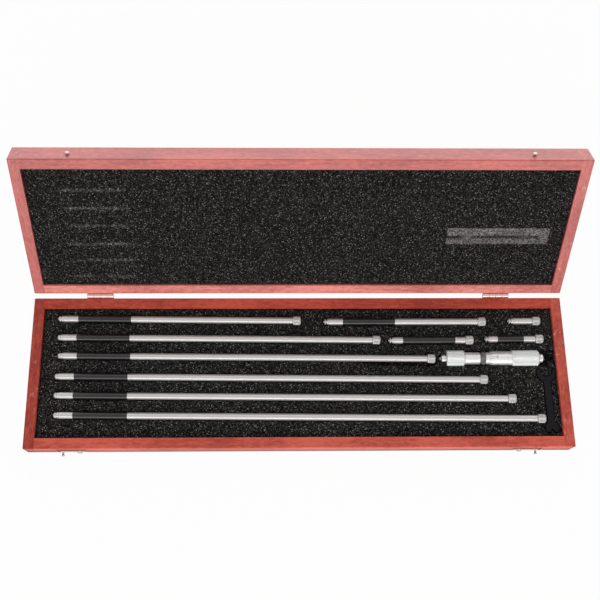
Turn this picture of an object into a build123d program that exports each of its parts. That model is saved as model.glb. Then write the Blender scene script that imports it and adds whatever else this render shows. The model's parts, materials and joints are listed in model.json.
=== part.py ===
from build123d import *
from dataclasses import dataclass
import os

# Inside micrometer with its extension rods and wrench, in a hinged wooden case that stands open.
# Millimetres. X runs along the case, Y from its front to its back, Z up.
# The origin is the centre of the case's underside. The lid is drawn shut and then swung open.

INCH = 25.4

# Fits
SLIDE_FIT = 0.05
SEAT_FIT = 0.05
MOVING_ROOM = 0.3

# Extension rods, turned about X from the contact tip at the left
TUBE_RADIUS = 3.175
TUBE_BORE_RADIUS = 2.2
CONTACT_LENGTH = 5.0
CONTACT_NECK_RADIUS = 2.8
CONTACT_SHOULDER = 0.3
DOME_LENGTH = 1.4
DOME_FACE_RADIUS = 2.0
BUTTON_TIP_LENGTH = 0.8
BUTTON_TIP_RADIUS = 0.7
BUTTON_FACE_RADIUS = 1.6
BUTTON_END = 2.2
BUTTON_GROOVE_LENGTH = 1.1
BUTTON_GROOVE_RADIUS = 2.1
GRIP_WALL = 0.45
GRIP_EDGE = 0.2
ROD_OVER_NOMINAL = 6.2
COLLAR_LENGTH = 7.94
COLLAR_RADIUS = 4.5
COLLAR_EDGE = 0.7
COLLAR_BORE_RADIUS = 2.5
COLLAR_SPIGOT = 3.0
COLLAR_MOUTH = 0.4

# Micrometer head, turned about X from the fixed contact at the left
STUD_CONE_LENGTH = 2.7
STUD_TIP_RADIUS = 0.6
STUD_LENGTH = 4.4
STUD_RADIUS = 4.0
STUD_SHOULDER = 1.2
STUD_SHANK_RADIUS = 2.5
STUD_SHANK_LENGTH = 8.0
HEAD_GRIP_LENGTH = 17.7
HEAD_GRIP_RADIUS = 7.95
HEAD_GRIP_CHAMFER = 1.1
BARREL_LENGTH = 15.3
BARREL_RADIUS = 6.1
BARREL_EDGE = 0.6
CORE_RADIUS = 5.35
CORE_BORE_RADIUS = 3.3
LOCK_RING_LENGTH = 4.8
LOCK_RING_RADIUS = 6.8
LOCK_RING_EDGE = 0.4
SLEEVE_EXPOSED = 3.7
SLEEVE_RADIUS = 5.95
SLEEVE_OVERLAP = 4.0
NUT_LENGTH = 5.0
NUT_THREAD_RADIUS = 4.6
NUT_RADIUS = 5.6
NUT_FLAT = 0.8
NUT_SLOT_WIDTH = 0.6
SCREW_THREAD_RADIUS = 3.0
SPINDLE_SHANK_RADIUS = 2.8
SPINDLE_SEAT_RADIUS = 2.6
THIMBLE_BEVEL_LENGTH = 2.7
THIMBLE_BEVEL_LIP = 0.35
THIMBLE_PLAIN_LENGTH = 21.65
THIMBLE_RADIUS = 7.1
THIMBLE_KNURL_LENGTH = 26.65
THIMBLE_KNURL_RADIUS = 7.95
THIMBLE_KNURL_CHAMFER = 1.5
THIMBLE_CAP = 5.0
END_STUB_LENGTH = 3.4
END_STUB_RADIUS = 4.3
END_TIP_LENGTH = 1.8
END_TIP_RADIUS = 2.6
SCREW_TRAVEL = INCH
STORED_TRAVEL = 0.375 * INCH

# Wrench, flat in its own cut-out at the right
WRENCH_THICKNESS = 3.0
WRENCH_PROUD = 0.3
WRENCH_HANDLE_WIDTH = 6.4
WRENCH_LENGTH = 53.5
WRENCH_SIDE_ROOM = 0.6
WRENCH_RIGHT_GAP = 9.9
WRENCH_FRONT_GAP = 8.5
WRENCH_TO_HEAD_WEB = 1.5

# Case
WALL = 10.0
PANEL_THICKNESS = 3.2
BASE_HEIGHT = 20.0
LID_HEIGHT = 22.0
EDGE_RADIUS = 0.9
RIM_GAP = 0.1
LID_FOAM_DROP = 2.0
COLLAR_TO_LID_FOAM = 0.6
HEAD_TO_LID_FOAM = 0.5
HEAD_SINK = 2.5
OPEN_ANGLE = 123.5
ROW_PITCH = 19.0
BACK_MARGIN = 12.7
FRONT_MARGIN = 19.3
TROUGH_END_ROOM = 0.5
TROUGH_STEP_ROOM = 0.3
PRESSED_MARGIN = 6.0
FINGER_NOTCH_LENGTH = 70.0
FINGER_NOTCH_WIDTH = 3.6
FINGER_NOTCH_DEPTH = 4.0

# Hinges, on the outside of the back rails
HINGE_INSET = 63.7
HINGE_WIDTH = 25.4
KNUCKLES = 4
KNUCKLE_RADIUS = 2.4
KNUCKLE_GAP = 0.2
LEAF_THICKNESS = 0.9
LEAF_HEIGHT = 12.0
LEAF_CORNER = 1.2
LEAF_RELIEF = 0.3
LEAF_SCREW_DROP = 7.4
LEAF_SCREW_SPREAD = 15.0
STOP_LUG_DROP = 3.8
STOP_LUG_THICKNESS = 0.9
STOP_LUG_GAP = 0.05
SMALL_SCREW_RADIUS = 1.0
SMALL_SCREW_LENGTH = 7.0
SMALL_SCREW_HEAD_RADIUS = 2.0
SMALL_SCREW_HEAD_HEIGHT = 0.9

# Hook latches, on the front
LATCH_INSET = 51.2
HOOK_REACH = 19.0
HOOK_THICKNESS = 1.2
HOOK_OFF_WOOD = 0.1
HOOK_EYE_RADIUS = 3.1
HOOK_ARM_HALF_WIDTH = 1.7
HOOK_END_RADIUS = 3.0
HOOK_TAIL = 5.5
HOOK_NOTCH_ROOM = 0.3
HOOK_KNOB_REACH = 15.4
HOOK_KNOB_RADIUS = 1.5
HOOK_KNOB_HEIGHT = 4.2
HOOK_KNOB_EDGE = 0.6
PIVOT_HEIGHT_SHARE_OF_RAIL = 0.5
PIVOT_SCREW_RADIUS = 1.3
PIVOT_SCREW_LENGTH = 8.0
PIVOT_HEAD_RADIUS = 2.7
PIVOT_HEAD_HEIGHT = 1.4
CATCH_NECK_RADIUS = 1.2
CATCH_LENGTH = 7.0
CATCH_HEAD_RADIUS = 2.1
CATCH_HEAD_HEIGHT = 1.0
CATCH_CLEARANCE = 0.3


@dataclass(frozen=True)
class Rod:
    """One extension rod: its length, the gap at its left, its grip, its contact and its place.

    A button contact has a small tip and a groove behind it; the other kind is a plain dome.
    A rod's shift is how far it lies behind the line of its row.
    """

    inches: int
    gap_before: float
    grip_start: float
    grip_length: float
    shift: float = 0.0
    has_button: bool = False

    @property
    def name(self):
        return f"rod_{self.inches:02d}_in"

    @property
    def length(self):
        return self.inches * INCH + ROD_OVER_NOMINAL


@dataclass(frozen=True)
class Row:
    """One row of cut-outs, from the left: its rods and the room left at its right."""

    rods: tuple
    end_room: float
    holds_head: bool = False


LONG_GRIP = 2 * INCH
SHORT_GRIP = INCH
LONG_GRIP_START = 18.2
HEAD_GAP_BEFORE = 3.95
HEAD_END_ROOM = 0.9
HEAD_SHIFT = 0.4
LONG_ROD_END_ROOM = 15.2
ROWS = (
    Row(
        (
            Rod(9, 14.1, 19.4, LONG_GRIP, shift=-0.15),
            Rod(6, 22.0, 18.8, LONG_GRIP, shift=-1.0, has_button=True),
            Rod(1, 21.6, 0.0, 0.0, shift=-0.45, has_button=True),
        ),
        end_room=11.72,
    ),
    Row(
        (
            Rod(12, 14.7, LONG_GRIP_START, LONG_GRIP),
            Rod(3, 7.9, 13.8, LONG_GRIP, shift=-0.9, has_button=True),
            Rod(2, 11.2, 12.4, SHORT_GRIP, shift=0.2, has_button=True),
        ),
        end_room=10.2,
    ),
    Row((Rod(14, 16.1, LONG_GRIP_START, LONG_GRIP, shift=0.7),), end_room=HEAD_END_ROOM, holds_head=True),
    Row((Rod(16, 14.6, LONG_GRIP_START, LONG_GRIP, shift=-0.55),), end_room=LONG_ROD_END_ROOM),
    Row((Rod(17, 14.9, LONG_GRIP_START, LONG_GRIP),), end_room=LONG_ROD_END_ROOM),
    Row((Rod(18, 15.8, LONG_GRIP_START, LONG_GRIP),), end_room=LONG_ROD_END_ROOM),
)

# The first rod of each row lies a little askew to the case, its left tip towards the back
FIRST_ROD_TURN = -0.60
FIRST_ROD_RISE = 2.75


@dataclass(frozen=True)
class Jaw:
    """One open jaw of the wrench: its round head, cut flat at its reach, and its mouth."""

    radius: float
    reach: float
    gap: float
    seat: float
    offset: float = 0.0


WIDE_JAW = Jaw(radius=9.4, reach=3.3, gap=12.0, seat=2.0)
SMALL_JAW = Jaw(radius=6.6, reach=4.2, gap=3.5, seat=3.05, offset=0.7)

# Places along the head, from its left tip
grip_at = STUD_CONE_LENGTH + STUD_LENGTH
barrel_at = grip_at + HEAD_GRIP_LENGTH
ring_at = barrel_at + BARREL_LENGTH
sleeve_at = ring_at + LOCK_RING_LENGTH
thimble_at = sleeve_at + SLEEVE_EXPOSED
knurl_at = thimble_at + THIMBLE_PLAIN_LENGTH
stub_at = knurl_at + THIMBLE_KNURL_LENGTH
head_length = stub_at + END_STUB_LENGTH + END_TIP_LENGTH
cap_at = stub_at - THIMBLE_CAP
sleeve_end = thimble_at + SCREW_TRAVEL + SLEEVE_OVERLAP
nut_at = sleeve_end + MOVING_ROOM
core_end = nut_at + NUT_LENGTH + NUT_FLAT
thimble_bore_radius = SLEEVE_RADIUS + SLIDE_FIT
grip_radius = TUBE_RADIUS + GRIP_WALL


def rods_length(row):
    """Length from the left side rail to the end of a row's last rod."""
    return sum(rod.gap_before + rod.length for rod in row.rods)


def row_length(row):
    """Room that a row of the base takes between the two side rails."""
    head_room = HEAD_GAP_BEFORE + head_length + STORED_TRAVEL if row.holds_head else 0
    return rods_length(row) + head_room + row.end_room


# Sizes of the case that follow from what it holds
inner_length = max(row_length(row) for row in ROWS)
head_row = next(row for row in ROWS if row.holds_head)
rows_before_head = len(ROWS) - 1 - ROWS.index(head_row)
wrench_room = WRENCH_FRONT_GAP + WRENCH_LENGTH + WIDE_JAW.reach + WRENCH_SIDE_ROOM + WRENCH_TO_HEAD_WEB
head_front_room = wrench_room + THIMBLE_KNURL_RADIUS + MOVING_ROOM
front_margin = max(FRONT_MARGIN, head_front_room - ROW_PITCH * rows_before_head)
inner_depth = BACK_MARGIN + ROW_PITCH * (len(ROWS) - 1) + front_margin
case_length = inner_length + 2 * WALL
case_depth = inner_depth + 2 * WALL
front_face = -case_depth / 2
back_face = case_depth / 2
panel_lap = WALL / 2
lid_rim = BASE_HEIGHT + RIM_GAP
lid_top = lid_rim + LID_HEIGHT
lid_foam_face = lid_rim + LID_FOAM_DROP
rod_height = lid_foam_face - COLLAR_TO_LID_FOAM - COLLAR_RADIUS
base_foam_face = rod_height
head_height = base_foam_face - HEAD_SINK
head_left = rods_length(head_row) + HEAD_GAP_BEFORE - inner_length / 2
hinge_y = back_face + KNUCKLE_RADIUS
hinge_z = BASE_HEIGHT + RIM_GAP / 2
hinge_pin_radius = KNUCKLE_RADIUS - LEAF_THICKNESS - SLIDE_FIT
knuckle_pitch = HINGE_WIDTH / KNUCKLES
hinge_x = case_length / 2 - HINGE_INSET
latch_x = case_length / 2 - LATCH_INSET
pivot_z = BASE_HEIGHT * PIVOT_HEIGHT_SHARE_OF_RAIL
catch_z = pivot_z + HOOK_REACH


def row_y(row):
    """Y of a row of cut-outs."""
    return inner_depth / 2 - BACK_MARGIN - ROW_PITCH * ROWS.index(row)


def block(x, y, z):
    """Box between two limits on each axis."""
    middle = Pos((x[0] + x[1]) / 2, (y[0] + y[1]) / 2, (z[0] + z[1]) / 2)
    return middle * Box(abs(x[1] - x[0]), abs(y[1] - y[0]), abs(z[1] - z[0]))


def turned(*outline):
    """Solid turned about X from points of (distance along, radius)."""
    points = [(outline[0][0], 0), *outline, (outline[-1][0], 0)]
    points = [point for index, point in enumerate(points) if index == 0 or point != points[index - 1]]
    return revolve(make_face(Polyline(*points, close=True)), Axis.X)


def rolled(start, end, radius):
    """Plain round bar along X."""
    return turned((start, radius), (end, radius))


def turned_outward(*outline):
    """Solid turned about Y from points of (distance out of the front face, radius)."""
    return Rot(0, 0, -90) * turned(*outline)


def swung_open(shape):
    """A piece of the shut lid, moved to where it stands with the lid open."""
    return shape.rotate(Axis((0, hinge_y, hinge_z), (1, 0, 0)), -OPEN_ANGLE)


# Extension rods

def contact_outline(rod):
    """Outline of a rod's contact end, up to where the full tube starts."""
    neck = (
        (CONTACT_LENGTH, CONTACT_NECK_RADIUS),
        (CONTACT_LENGTH + CONTACT_SHOULDER, TUBE_RADIUS),
    )
    if not rod.has_button:
        return (0, DOME_FACE_RADIUS), (DOME_LENGTH, CONTACT_NECK_RADIUS), *neck
    groove_end = BUTTON_END + BUTTON_GROOVE_LENGTH
    return (
        (0, BUTTON_TIP_RADIUS),
        (BUTTON_TIP_LENGTH, BUTTON_TIP_RADIUS),
        (BUTTON_TIP_LENGTH, BUTTON_FACE_RADIUS),
        (BUTTON_END, CONTACT_NECK_RADIUS),
        (BUTTON_END, BUTTON_GROOVE_RADIUS),
        (groove_end, BUTTON_GROOVE_RADIUS),
        (groove_end, CONTACT_NECK_RADIUS),
        *neck,
    )


def rod_tube(rod):
    """Steel tube with its turned contact end at the left."""
    end = rod.length - COLLAR_LENGTH + COLLAR_SPIGOT
    outside = turned(*contact_outline(rod), (end, TUBE_RADIUS))
    return outside - rolled(CONTACT_LENGTH + TUBE_RADIUS, end, TUBE_BORE_RADIUS)


def rod_grip(rod):
    """Black insulating sleeve round the tube."""
    start = rod.grip_start
    end = start + rod.grip_length
    outside = turned(
        (start, grip_radius - GRIP_EDGE),
        (start + GRIP_EDGE, grip_radius),
        (end - GRIP_EDGE, grip_radius),
        (end, grip_radius - GRIP_EDGE),
    )
    return outside - rolled(start, end, TUBE_RADIUS)


def rod_collar(rod):
    """Knurled socket at the right end, which takes the contact end of the next rod."""
    start = rod.length - COLLAR_LENGTH
    end = rod.length
    outside = turned(
        (start, COLLAR_RADIUS - COLLAR_MOUTH),
        (start + COLLAR_MOUTH, COLLAR_RADIUS),
        (end - COLLAR_EDGE, COLLAR_RADIUS),
        (end, COLLAR_RADIUS - COLLAR_EDGE),
    )
    spigot_seat = rolled(start, start + COLLAR_SPIGOT, TUBE_RADIUS)
    socket = turned(
        (start + COLLAR_SPIGOT, COLLAR_BORE_RADIUS),
        (end - COLLAR_MOUTH, COLLAR_BORE_RADIUS),
        (end, COLLAR_BORE_RADIUS + COLLAR_MOUTH),
    )
    return outside - spigot_seat - socket


def rod_trough(rod):
    """Space that one rod takes in the foam, half its depth."""
    body_radius = (grip_radius if rod.grip_length else TUBE_RADIUS) + SEAT_FIT
    collar_at = rod.length - COLLAR_LENGTH - TROUGH_STEP_ROOM
    channel = rolled(-TROUGH_END_ROOM, collar_at, body_radius)
    return channel + rolled(collar_at, rod.length + TROUGH_END_ROOM, COLLAR_RADIUS + SEAT_FIT)


def placed_rods():
    """Each rod with the place of its left tip."""
    for row in ROWS:
        x = -inner_length / 2
        for rod in row.rods:
            x += rod.gap_before
            place = Pos(x, row_y(row) + rod.shift, rod_height)
            if rod is row.rods[0]:
                place *= Pos(0, FIRST_ROD_RISE, 0) * Rot(0, 0, FIRST_ROD_TURN)
            yield rod, place
            x += rod.length


# Micrometer head

def head_contact_stud():
    """Fixed contact: cone, stud and the shank that screws into the body."""
    return turned(
        (0, STUD_TIP_RADIUS),
        (STUD_CONE_LENGTH, STUD_RADIUS - STUD_SHOULDER),
        (STUD_CONE_LENGTH, STUD_RADIUS),
        (grip_at, STUD_RADIUS),
        (grip_at, STUD_SHANK_RADIUS),
        (grip_at + STUD_SHANK_LENGTH, STUD_SHANK_RADIUS),
    )


def head_body():
    """Grip, barrel and the long core that carries the sleeve and the screw nut."""
    outside = turned(
        (grip_at, HEAD_GRIP_RADIUS),
        (barrel_at - HEAD_GRIP_CHAMFER, HEAD_GRIP_RADIUS),
        (barrel_at, BARREL_RADIUS),
        (ring_at - BARREL_EDGE, BARREL_RADIUS),
        (ring_at, BARREL_RADIUS - BARREL_EDGE),
        (ring_at, CORE_RADIUS),
        (sleeve_end, CORE_RADIUS),
        (sleeve_end, NUT_THREAD_RADIUS),
        (core_end, NUT_THREAD_RADIUS),
    )
    stud_hole = rolled(grip_at, grip_at + STUD_SHANK_LENGTH, STUD_SHANK_RADIUS)
    bore_start = grip_at + STUD_SHANK_LENGTH + STUD_SHANK_RADIUS
    clearance_bore = rolled(bore_start, nut_at, CORE_BORE_RADIUS)
    thread_bore = rolled(nut_at, core_end, SCREW_THREAD_RADIUS + SLIDE_FIT)
    body = outside - stud_hole - clearance_bore - thread_bore
    split = block(
        (nut_at, core_end),
        (-NUT_RADIUS, NUT_RADIUS),
        (-NUT_SLOT_WIDTH / 2, NUT_SLOT_WIDTH / 2),
    )
    return body - split


def adjusting_nut():
    """Nut that closes the split end of the core on the screw to take up play."""
    outside = rolled(nut_at, nut_at + NUT_LENGTH, NUT_RADIUS)
    ring = outside - rolled(nut_at, nut_at + NUT_LENGTH, NUT_THREAD_RADIUS)
    notch_height = NUT_RADIUS - NUT_THREAD_RADIUS
    for side in (-1, 1):
        notch = block(
            (nut_at + NUT_LENGTH - NUT_FLAT, nut_at + NUT_LENGTH),
            (-NUT_SLOT_WIDTH, NUT_SLOT_WIDTH),
            (side * (NUT_RADIUS - notch_height / 2), side * (NUT_RADIUS + notch_height)),
        )
        ring -= notch
    return ring


def lock_ring():
    """Knurled ring that clamps the screw, free to turn between the barrel and the sleeve."""
    start = ring_at + SLIDE_FIT
    end = sleeve_at - SLIDE_FIT
    outside = turned(
        (start, LOCK_RING_RADIUS - LOCK_RING_EDGE),
        (start + LOCK_RING_EDGE, LOCK_RING_RADIUS),
        (end - LOCK_RING_EDGE, LOCK_RING_RADIUS),
        (end, LOCK_RING_RADIUS - LOCK_RING_EDGE),
    )
    return outside - rolled(start, end, CORE_RADIUS + SLIDE_FIT)


def graduated_sleeve():
    """Thin tube pressed over the core, which carries the inch divisions."""
    return rolled(sleeve_at, sleeve_end, SLEEVE_RADIUS) - rolled(sleeve_at, sleeve_end, CORE_RADIUS)


def spindle():
    """Measuring screw with the moving contact at its right end."""
    start = grip_at + STUD_SHANK_LENGTH + 2 * STUD_SHANK_RADIUS
    return turned(
        (start, SPINDLE_SHANK_RADIUS),
        (nut_at - SCREW_TRAVEL, SPINDLE_SHANK_RADIUS),
        (nut_at - SCREW_TRAVEL, SCREW_THREAD_RADIUS),
        (core_end, SCREW_THREAD_RADIUS),
        (core_end, SPINDLE_SEAT_RADIUS),
        (stub_at + SLIDE_FIT, SPINDLE_SEAT_RADIUS),
        (stub_at + SLIDE_FIT, END_STUB_RADIUS),
        (stub_at + END_STUB_LENGTH, END_STUB_RADIUS),
        (head_length, END_TIP_RADIUS),
    )


def thimble():
    """Cup with a bevelled graduated edge and a knurled grip, closed at its right end."""
    edge_radius = thimble_bore_radius + THIMBLE_BEVEL_LIP
    outside = turned(
        (thimble_at, edge_radius),
        (thimble_at + THIMBLE_BEVEL_LENGTH, THIMBLE_RADIUS),
        (knurl_at, THIMBLE_RADIUS),
        (knurl_at, THIMBLE_KNURL_RADIUS),
        (stub_at - THIMBLE_KNURL_CHAMFER, THIMBLE_KNURL_RADIUS),
        (stub_at, THIMBLE_KNURL_RADIUS - THIMBLE_KNURL_CHAMFER),
    )
    cup = rolled(thimble_at, cap_at, thimble_bore_radius)
    seat = rolled(cap_at, stub_at, SPINDLE_SEAT_RADIUS + SLIDE_FIT)
    return outside - cup - seat


def head_pocket():
    """Cut-out for the head, with room on the right for the thimble to run out."""
    steps = (
        (-TROUGH_END_ROOM, grip_at - TROUGH_STEP_ROOM, STUD_RADIUS + SEAT_FIT),
        (grip_at - TROUGH_STEP_ROOM, barrel_at + TROUGH_STEP_ROOM, HEAD_GRIP_RADIUS + SEAT_FIT),
        (barrel_at + TROUGH_STEP_ROOM, knurl_at - TROUGH_STEP_ROOM, THIMBLE_RADIUS + MOVING_ROOM),
        (
            knurl_at - TROUGH_STEP_ROOM,
            stub_at + STORED_TRAVEL + TROUGH_END_ROOM,
            THIMBLE_KNURL_RADIUS + MOVING_ROOM,
        ),
        (
            stub_at + STORED_TRAVEL + TROUGH_END_ROOM,
            head_length + STORED_TRAVEL + TROUGH_END_ROOM,
            END_STUB_RADIUS + MOVING_ROOM,
        ),
    )
    pocket = None
    for start, end, radius in steps:
        step = rolled(start, end, radius) + block((start, end), (-radius, radius), (0, HEAD_SINK))
        pocket = step if pocket is None else pocket + step
    return pocket


head_y = row_y(head_row) + HEAD_SHIFT
head_place = Pos(head_left, head_y, head_height)


# Wrench

def jaw_head(jaw):
    """Round head of a jaw, cut flat across its horns."""
    beyond = Pos(0, jaw.reach + jaw.radius) * Rectangle(2 * jaw.radius, 2 * jaw.radius)
    return Circle(jaw.radius) - beyond


def jaw_mouth(jaw):
    """Mouth of a jaw, from its rounded seat out past its horns."""
    out = jaw.seat + jaw.radius
    return Pos(0, jaw.seat) * Circle(jaw.gap / 2) + Pos(0, out) * Rectangle(jaw.gap, 2 * jaw.radius)


def wrench_outline():
    """Flat outline: a wide jaw at the back end and a small one at the front end."""
    handle = Pos(0, WRENCH_LENGTH / 2) * Rectangle(WRENCH_HANDLE_WIDTH, WRENCH_LENGTH)
    wide_place = Pos(0, WRENCH_LENGTH)
    small_place = Pos(SMALL_JAW.offset, 0) * Rot(0, 0, 180)
    outline = handle + wide_place * jaw_head(WIDE_JAW) + small_place * jaw_head(SMALL_JAW)
    return outline - wide_place * jaw_mouth(WIDE_JAW) - small_place * jaw_mouth(SMALL_JAW)


wrench_place = Pos(
    inner_length / 2 - WRENCH_RIGHT_GAP,
    -inner_depth / 2 + WRENCH_FRONT_GAP,
    base_foam_face + WRENCH_PROUD - WRENCH_THICKNESS,
)


def wrench():
    """Thin steel wrench with two open jaws."""
    return wrench_place * extrude(wrench_outline(), WRENCH_THICKNESS)


def wrench_pocket():
    """Cut-out for the wrench, a little wider than it is."""
    outline = offset(wrench_outline(), amount=WRENCH_SIDE_ROOM)
    return wrench_place * extrude(outline, WRENCH_THICKNESS)


# Foam

def finger_notch(rod):
    """Recess beside the right end of a rod, to lift it out by."""
    right = rod.length + TROUGH_END_ROOM
    notch = block(
        (right - FINGER_NOTCH_LENGTH, right),
        (-grip_radius - FINGER_NOTCH_WIDTH, 0),
        (-FINGER_NOTCH_DEPTH, FINGER_NOTCH_DEPTH),
    )
    return fillet(notch.edges().filter_by(Axis.Z), FINGER_NOTCH_WIDTH / 2)


def base_foam():
    """Foam bed of the base with a fitted cut-out for every instrument."""
    foam = block(
        (-inner_length / 2, inner_length / 2),
        (-inner_depth / 2, inner_depth / 2),
        (PANEL_THICKNESS, base_foam_face),
    )
    for rod, place in placed_rods():
        foam -= place * rod_trough(rod)
        if rod is head_row.rods[-1]:
            foam -= place * finger_notch(rod)
    return foam - head_place * head_pocket() - wrench_pocket()


def lid_foam():
    """Foam of the lid, with the shallow place that the head presses in it."""
    foam = block(
        (-inner_length / 2, inner_length / 2),
        (-inner_depth / 2, inner_depth / 2),
        (lid_foam_face, lid_top - PANEL_THICKNESS),
    )
    roof = head_height + HEAD_GRIP_RADIUS + HEAD_TO_LID_FOAM
    pressed = block(
        (head_left - TROUGH_END_ROOM, head_left + stub_at + STORED_TRAVEL + MOVING_ROOM),
        (head_y - HEAD_GRIP_RADIUS - PRESSED_MARGIN, head_y + HEAD_GRIP_RADIUS),
        (lid_foam_face - HEAD_TO_LID_FOAM, roof),
    )
    return swung_open(foam - pressed)


# Case boards

def board_ring(bottom, top, panel):
    """Four rails in one, with the outer edges eased and a rabbet for the panel."""
    ring = block((-case_length / 2, case_length / 2), (front_face, back_face), (bottom, top))
    ring = fillet(ring.edges(), EDGE_RADIUS)
    opening = block(
        (-inner_length / 2, inner_length / 2),
        (-inner_depth / 2, inner_depth / 2),
        (bottom, top),
    )
    return ring - opening - panel


def panel_block(bottom):
    """Thin panel that closes the base or the lid."""
    return block(
        (-inner_length / 2 - panel_lap, inner_length / 2 + panel_lap),
        (-inner_depth / 2 - panel_lap, inner_depth / 2 + panel_lap),
        (bottom, bottom + PANEL_THICKNESS),
    )


def rails(ring, bottom, top):
    """The four rails of a ring: the side rails run through, the long ones butt between them."""
    inside = (-inner_length / 2, inner_length / 2)
    height = (bottom, top)
    return {
        "front": ring & block(inside, (front_face, -inner_depth / 2), height),
        "back": ring & block(inside, (inner_depth / 2, back_face), height),
        "left": ring & block((-case_length / 2, inside[0]), (front_face, back_face), height),
        "right": ring & block((inside[1], case_length / 2), (front_face, back_face), height),
    }


# Hinges

def hinge_leaf(side, own_first, direction):
    """Leaf on the back face with the knuckles rolled from it, base or lid."""
    left = side * hinge_x - HINGE_WIDTH / 2
    far = hinge_z + direction * LEAF_HEIGHT
    plate = block((left, left + HINGE_WIDTH), (back_face, back_face + LEAF_THICKNESS), (hinge_z, far))
    corners = plate.edges().filter_by(Axis.Y).sort_by(Axis.Z)
    corners = corners[-2:] if direction > 0 else corners[:2]
    leaf = fillet(corners, LEAF_CORNER)
    own = []
    for index in range(KNUCKLES):
        start = left + index * knuckle_pitch
        if index % 2 == own_first:
            own.append(start)
            continue
        relief = block(
            (start - KNUCKLE_GAP / 2, start + knuckle_pitch + KNUCKLE_GAP / 2),
            (back_face, back_face + LEAF_THICKNESS),
            (hinge_z, hinge_z + direction * (KNUCKLE_RADIUS + LEAF_RELIEF)),
        )
        leaf -= relief
    for start in own:
        knuckle = rolled(
            start + KNUCKLE_GAP / 2, start + knuckle_pitch - KNUCKLE_GAP / 2, KNUCKLE_RADIUS
        )
        leaf += Pos(0, hinge_y, hinge_z) * knuckle
    pin_hole = rolled(left, left + HINGE_WIDTH, hinge_pin_radius + SLIDE_FIT)
    leaf -= Pos(0, hinge_y, hinge_z) * pin_hole
    for place in leaf_screw_places(side, direction):
        leaf -= place * small_screw_shank()
    return leaf, own


def stop_lug(start):
    """Lug on a lid knuckle that lands on the base leaf and holds the lid open."""
    near = back_face + LEAF_THICKNESS + STOP_LUG_GAP
    return block(
        (start + KNUCKLE_GAP / 2, start + knuckle_pitch - KNUCKLE_GAP / 2),
        (near, near + STOP_LUG_THICKNESS),
        (hinge_z - STOP_LUG_DROP, hinge_z - hinge_pin_radius - SLIDE_FIT),
    )


def base_hinge_leaf(side):
    """Leaf screwed to the back of the base."""
    leaf, _ = hinge_leaf(side, 0, -1)
    return leaf


def lid_hinge_leaf(side):
    """Leaf screwed to the back of the lid, with its stop lugs, where it stands open."""
    leaf, own = hinge_leaf(side, 1, 1)
    leaf = swung_open(leaf)
    pin_hole = Pos(0, hinge_y, hinge_z) * rolled(
        own[0], own[-1] + knuckle_pitch, hinge_pin_radius + SLIDE_FIT
    )
    for start in own:
        leaf += stop_lug(start) - pin_hole
    return leaf


def hinge_pin(side):
    """Pin through the knuckles of one hinge."""
    left = side * hinge_x - HINGE_WIDTH / 2
    return Pos(0, hinge_y, hinge_z) * rolled(left, left + HINGE_WIDTH, hinge_pin_radius)


def leaf_screw_places(side, direction):
    """Places of the screws of one leaf, on the back face and pointing out of it."""
    height = hinge_z + direction * LEAF_SCREW_DROP
    spread = LEAF_SCREW_SPREAD / 2
    return [
        Pos(side * hinge_x + offset, back_face, height) * Rot(0, 0, 180)
        for offset in (-spread, spread)
    ]


def small_screw_shank():
    """Shank of a small wood screw, out of a face at y = 0 towards -y, and into the wood."""
    return turned_outward(
        (-SMALL_SCREW_LENGTH, SMALL_SCREW_RADIUS / 2),
        (-SMALL_SCREW_LENGTH + SMALL_SCREW_RADIUS, SMALL_SCREW_RADIUS),
        (LEAF_THICKNESS, SMALL_SCREW_RADIUS),
    )


def domed_head(start, radius, height):
    """Round head of a screw or pin, outwards from start."""
    return turned_outward(
        (start, radius),
        (start + height * 0.4, radius * 0.94),
        (start + height * 0.75, radius * 0.72),
        (start + height, radius * 0.35),
    )


def small_screw():
    """Small round-head wood screw through a hinge leaf."""
    return small_screw_shank() + domed_head(
        LEAF_THICKNESS, SMALL_SCREW_HEAD_RADIUS, SMALL_SCREW_HEAD_HEIGHT
    )


# Hook latches

def pivot_place(side):
    """Foot of a pivot screw on the front face of the base."""
    return Pos(side * latch_x, front_face, pivot_z)


def catch_place(side):
    """Foot of a catch pin on the front face of the shut lid."""
    return Pos(side * latch_x, front_face, catch_z)


def pivot_shank():
    """Shank of a pivot screw, in the wood and through the hook."""
    return turned_outward(
        (-PIVOT_SCREW_LENGTH, PIVOT_SCREW_RADIUS / 2),
        (-PIVOT_SCREW_LENGTH + PIVOT_SCREW_RADIUS, PIVOT_SCREW_RADIUS),
        (HOOK_OFF_WOOD + HOOK_THICKNESS + SLIDE_FIT, PIVOT_SCREW_RADIUS),
    )


def pivot_screw():
    """Round-head screw that a hook swings on."""
    start = HOOK_OFF_WOOD + HOOK_THICKNESS + SLIDE_FIT
    return pivot_shank() + domed_head(start, PIVOT_HEAD_RADIUS, PIVOT_HEAD_HEIGHT)


def catch_shank():
    """Neck of a catch pin, in the wood and out past the hook."""
    return turned_outward(
        (-CATCH_LENGTH, CATCH_NECK_RADIUS / 2),
        (-CATCH_LENGTH + CATCH_NECK_RADIUS, CATCH_NECK_RADIUS),
        (HOOK_OFF_WOOD + HOOK_THICKNESS + CATCH_CLEARANCE, CATCH_NECK_RADIUS),
    )


def catch_pin():
    """Headed pin on the lid that a hook closes on."""
    start = HOOK_OFF_WOOD + HOOK_THICKNESS + CATCH_CLEARANCE
    return catch_shank() + domed_head(start, CATCH_HEAD_RADIUS, CATCH_HEAD_HEIGHT)


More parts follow.
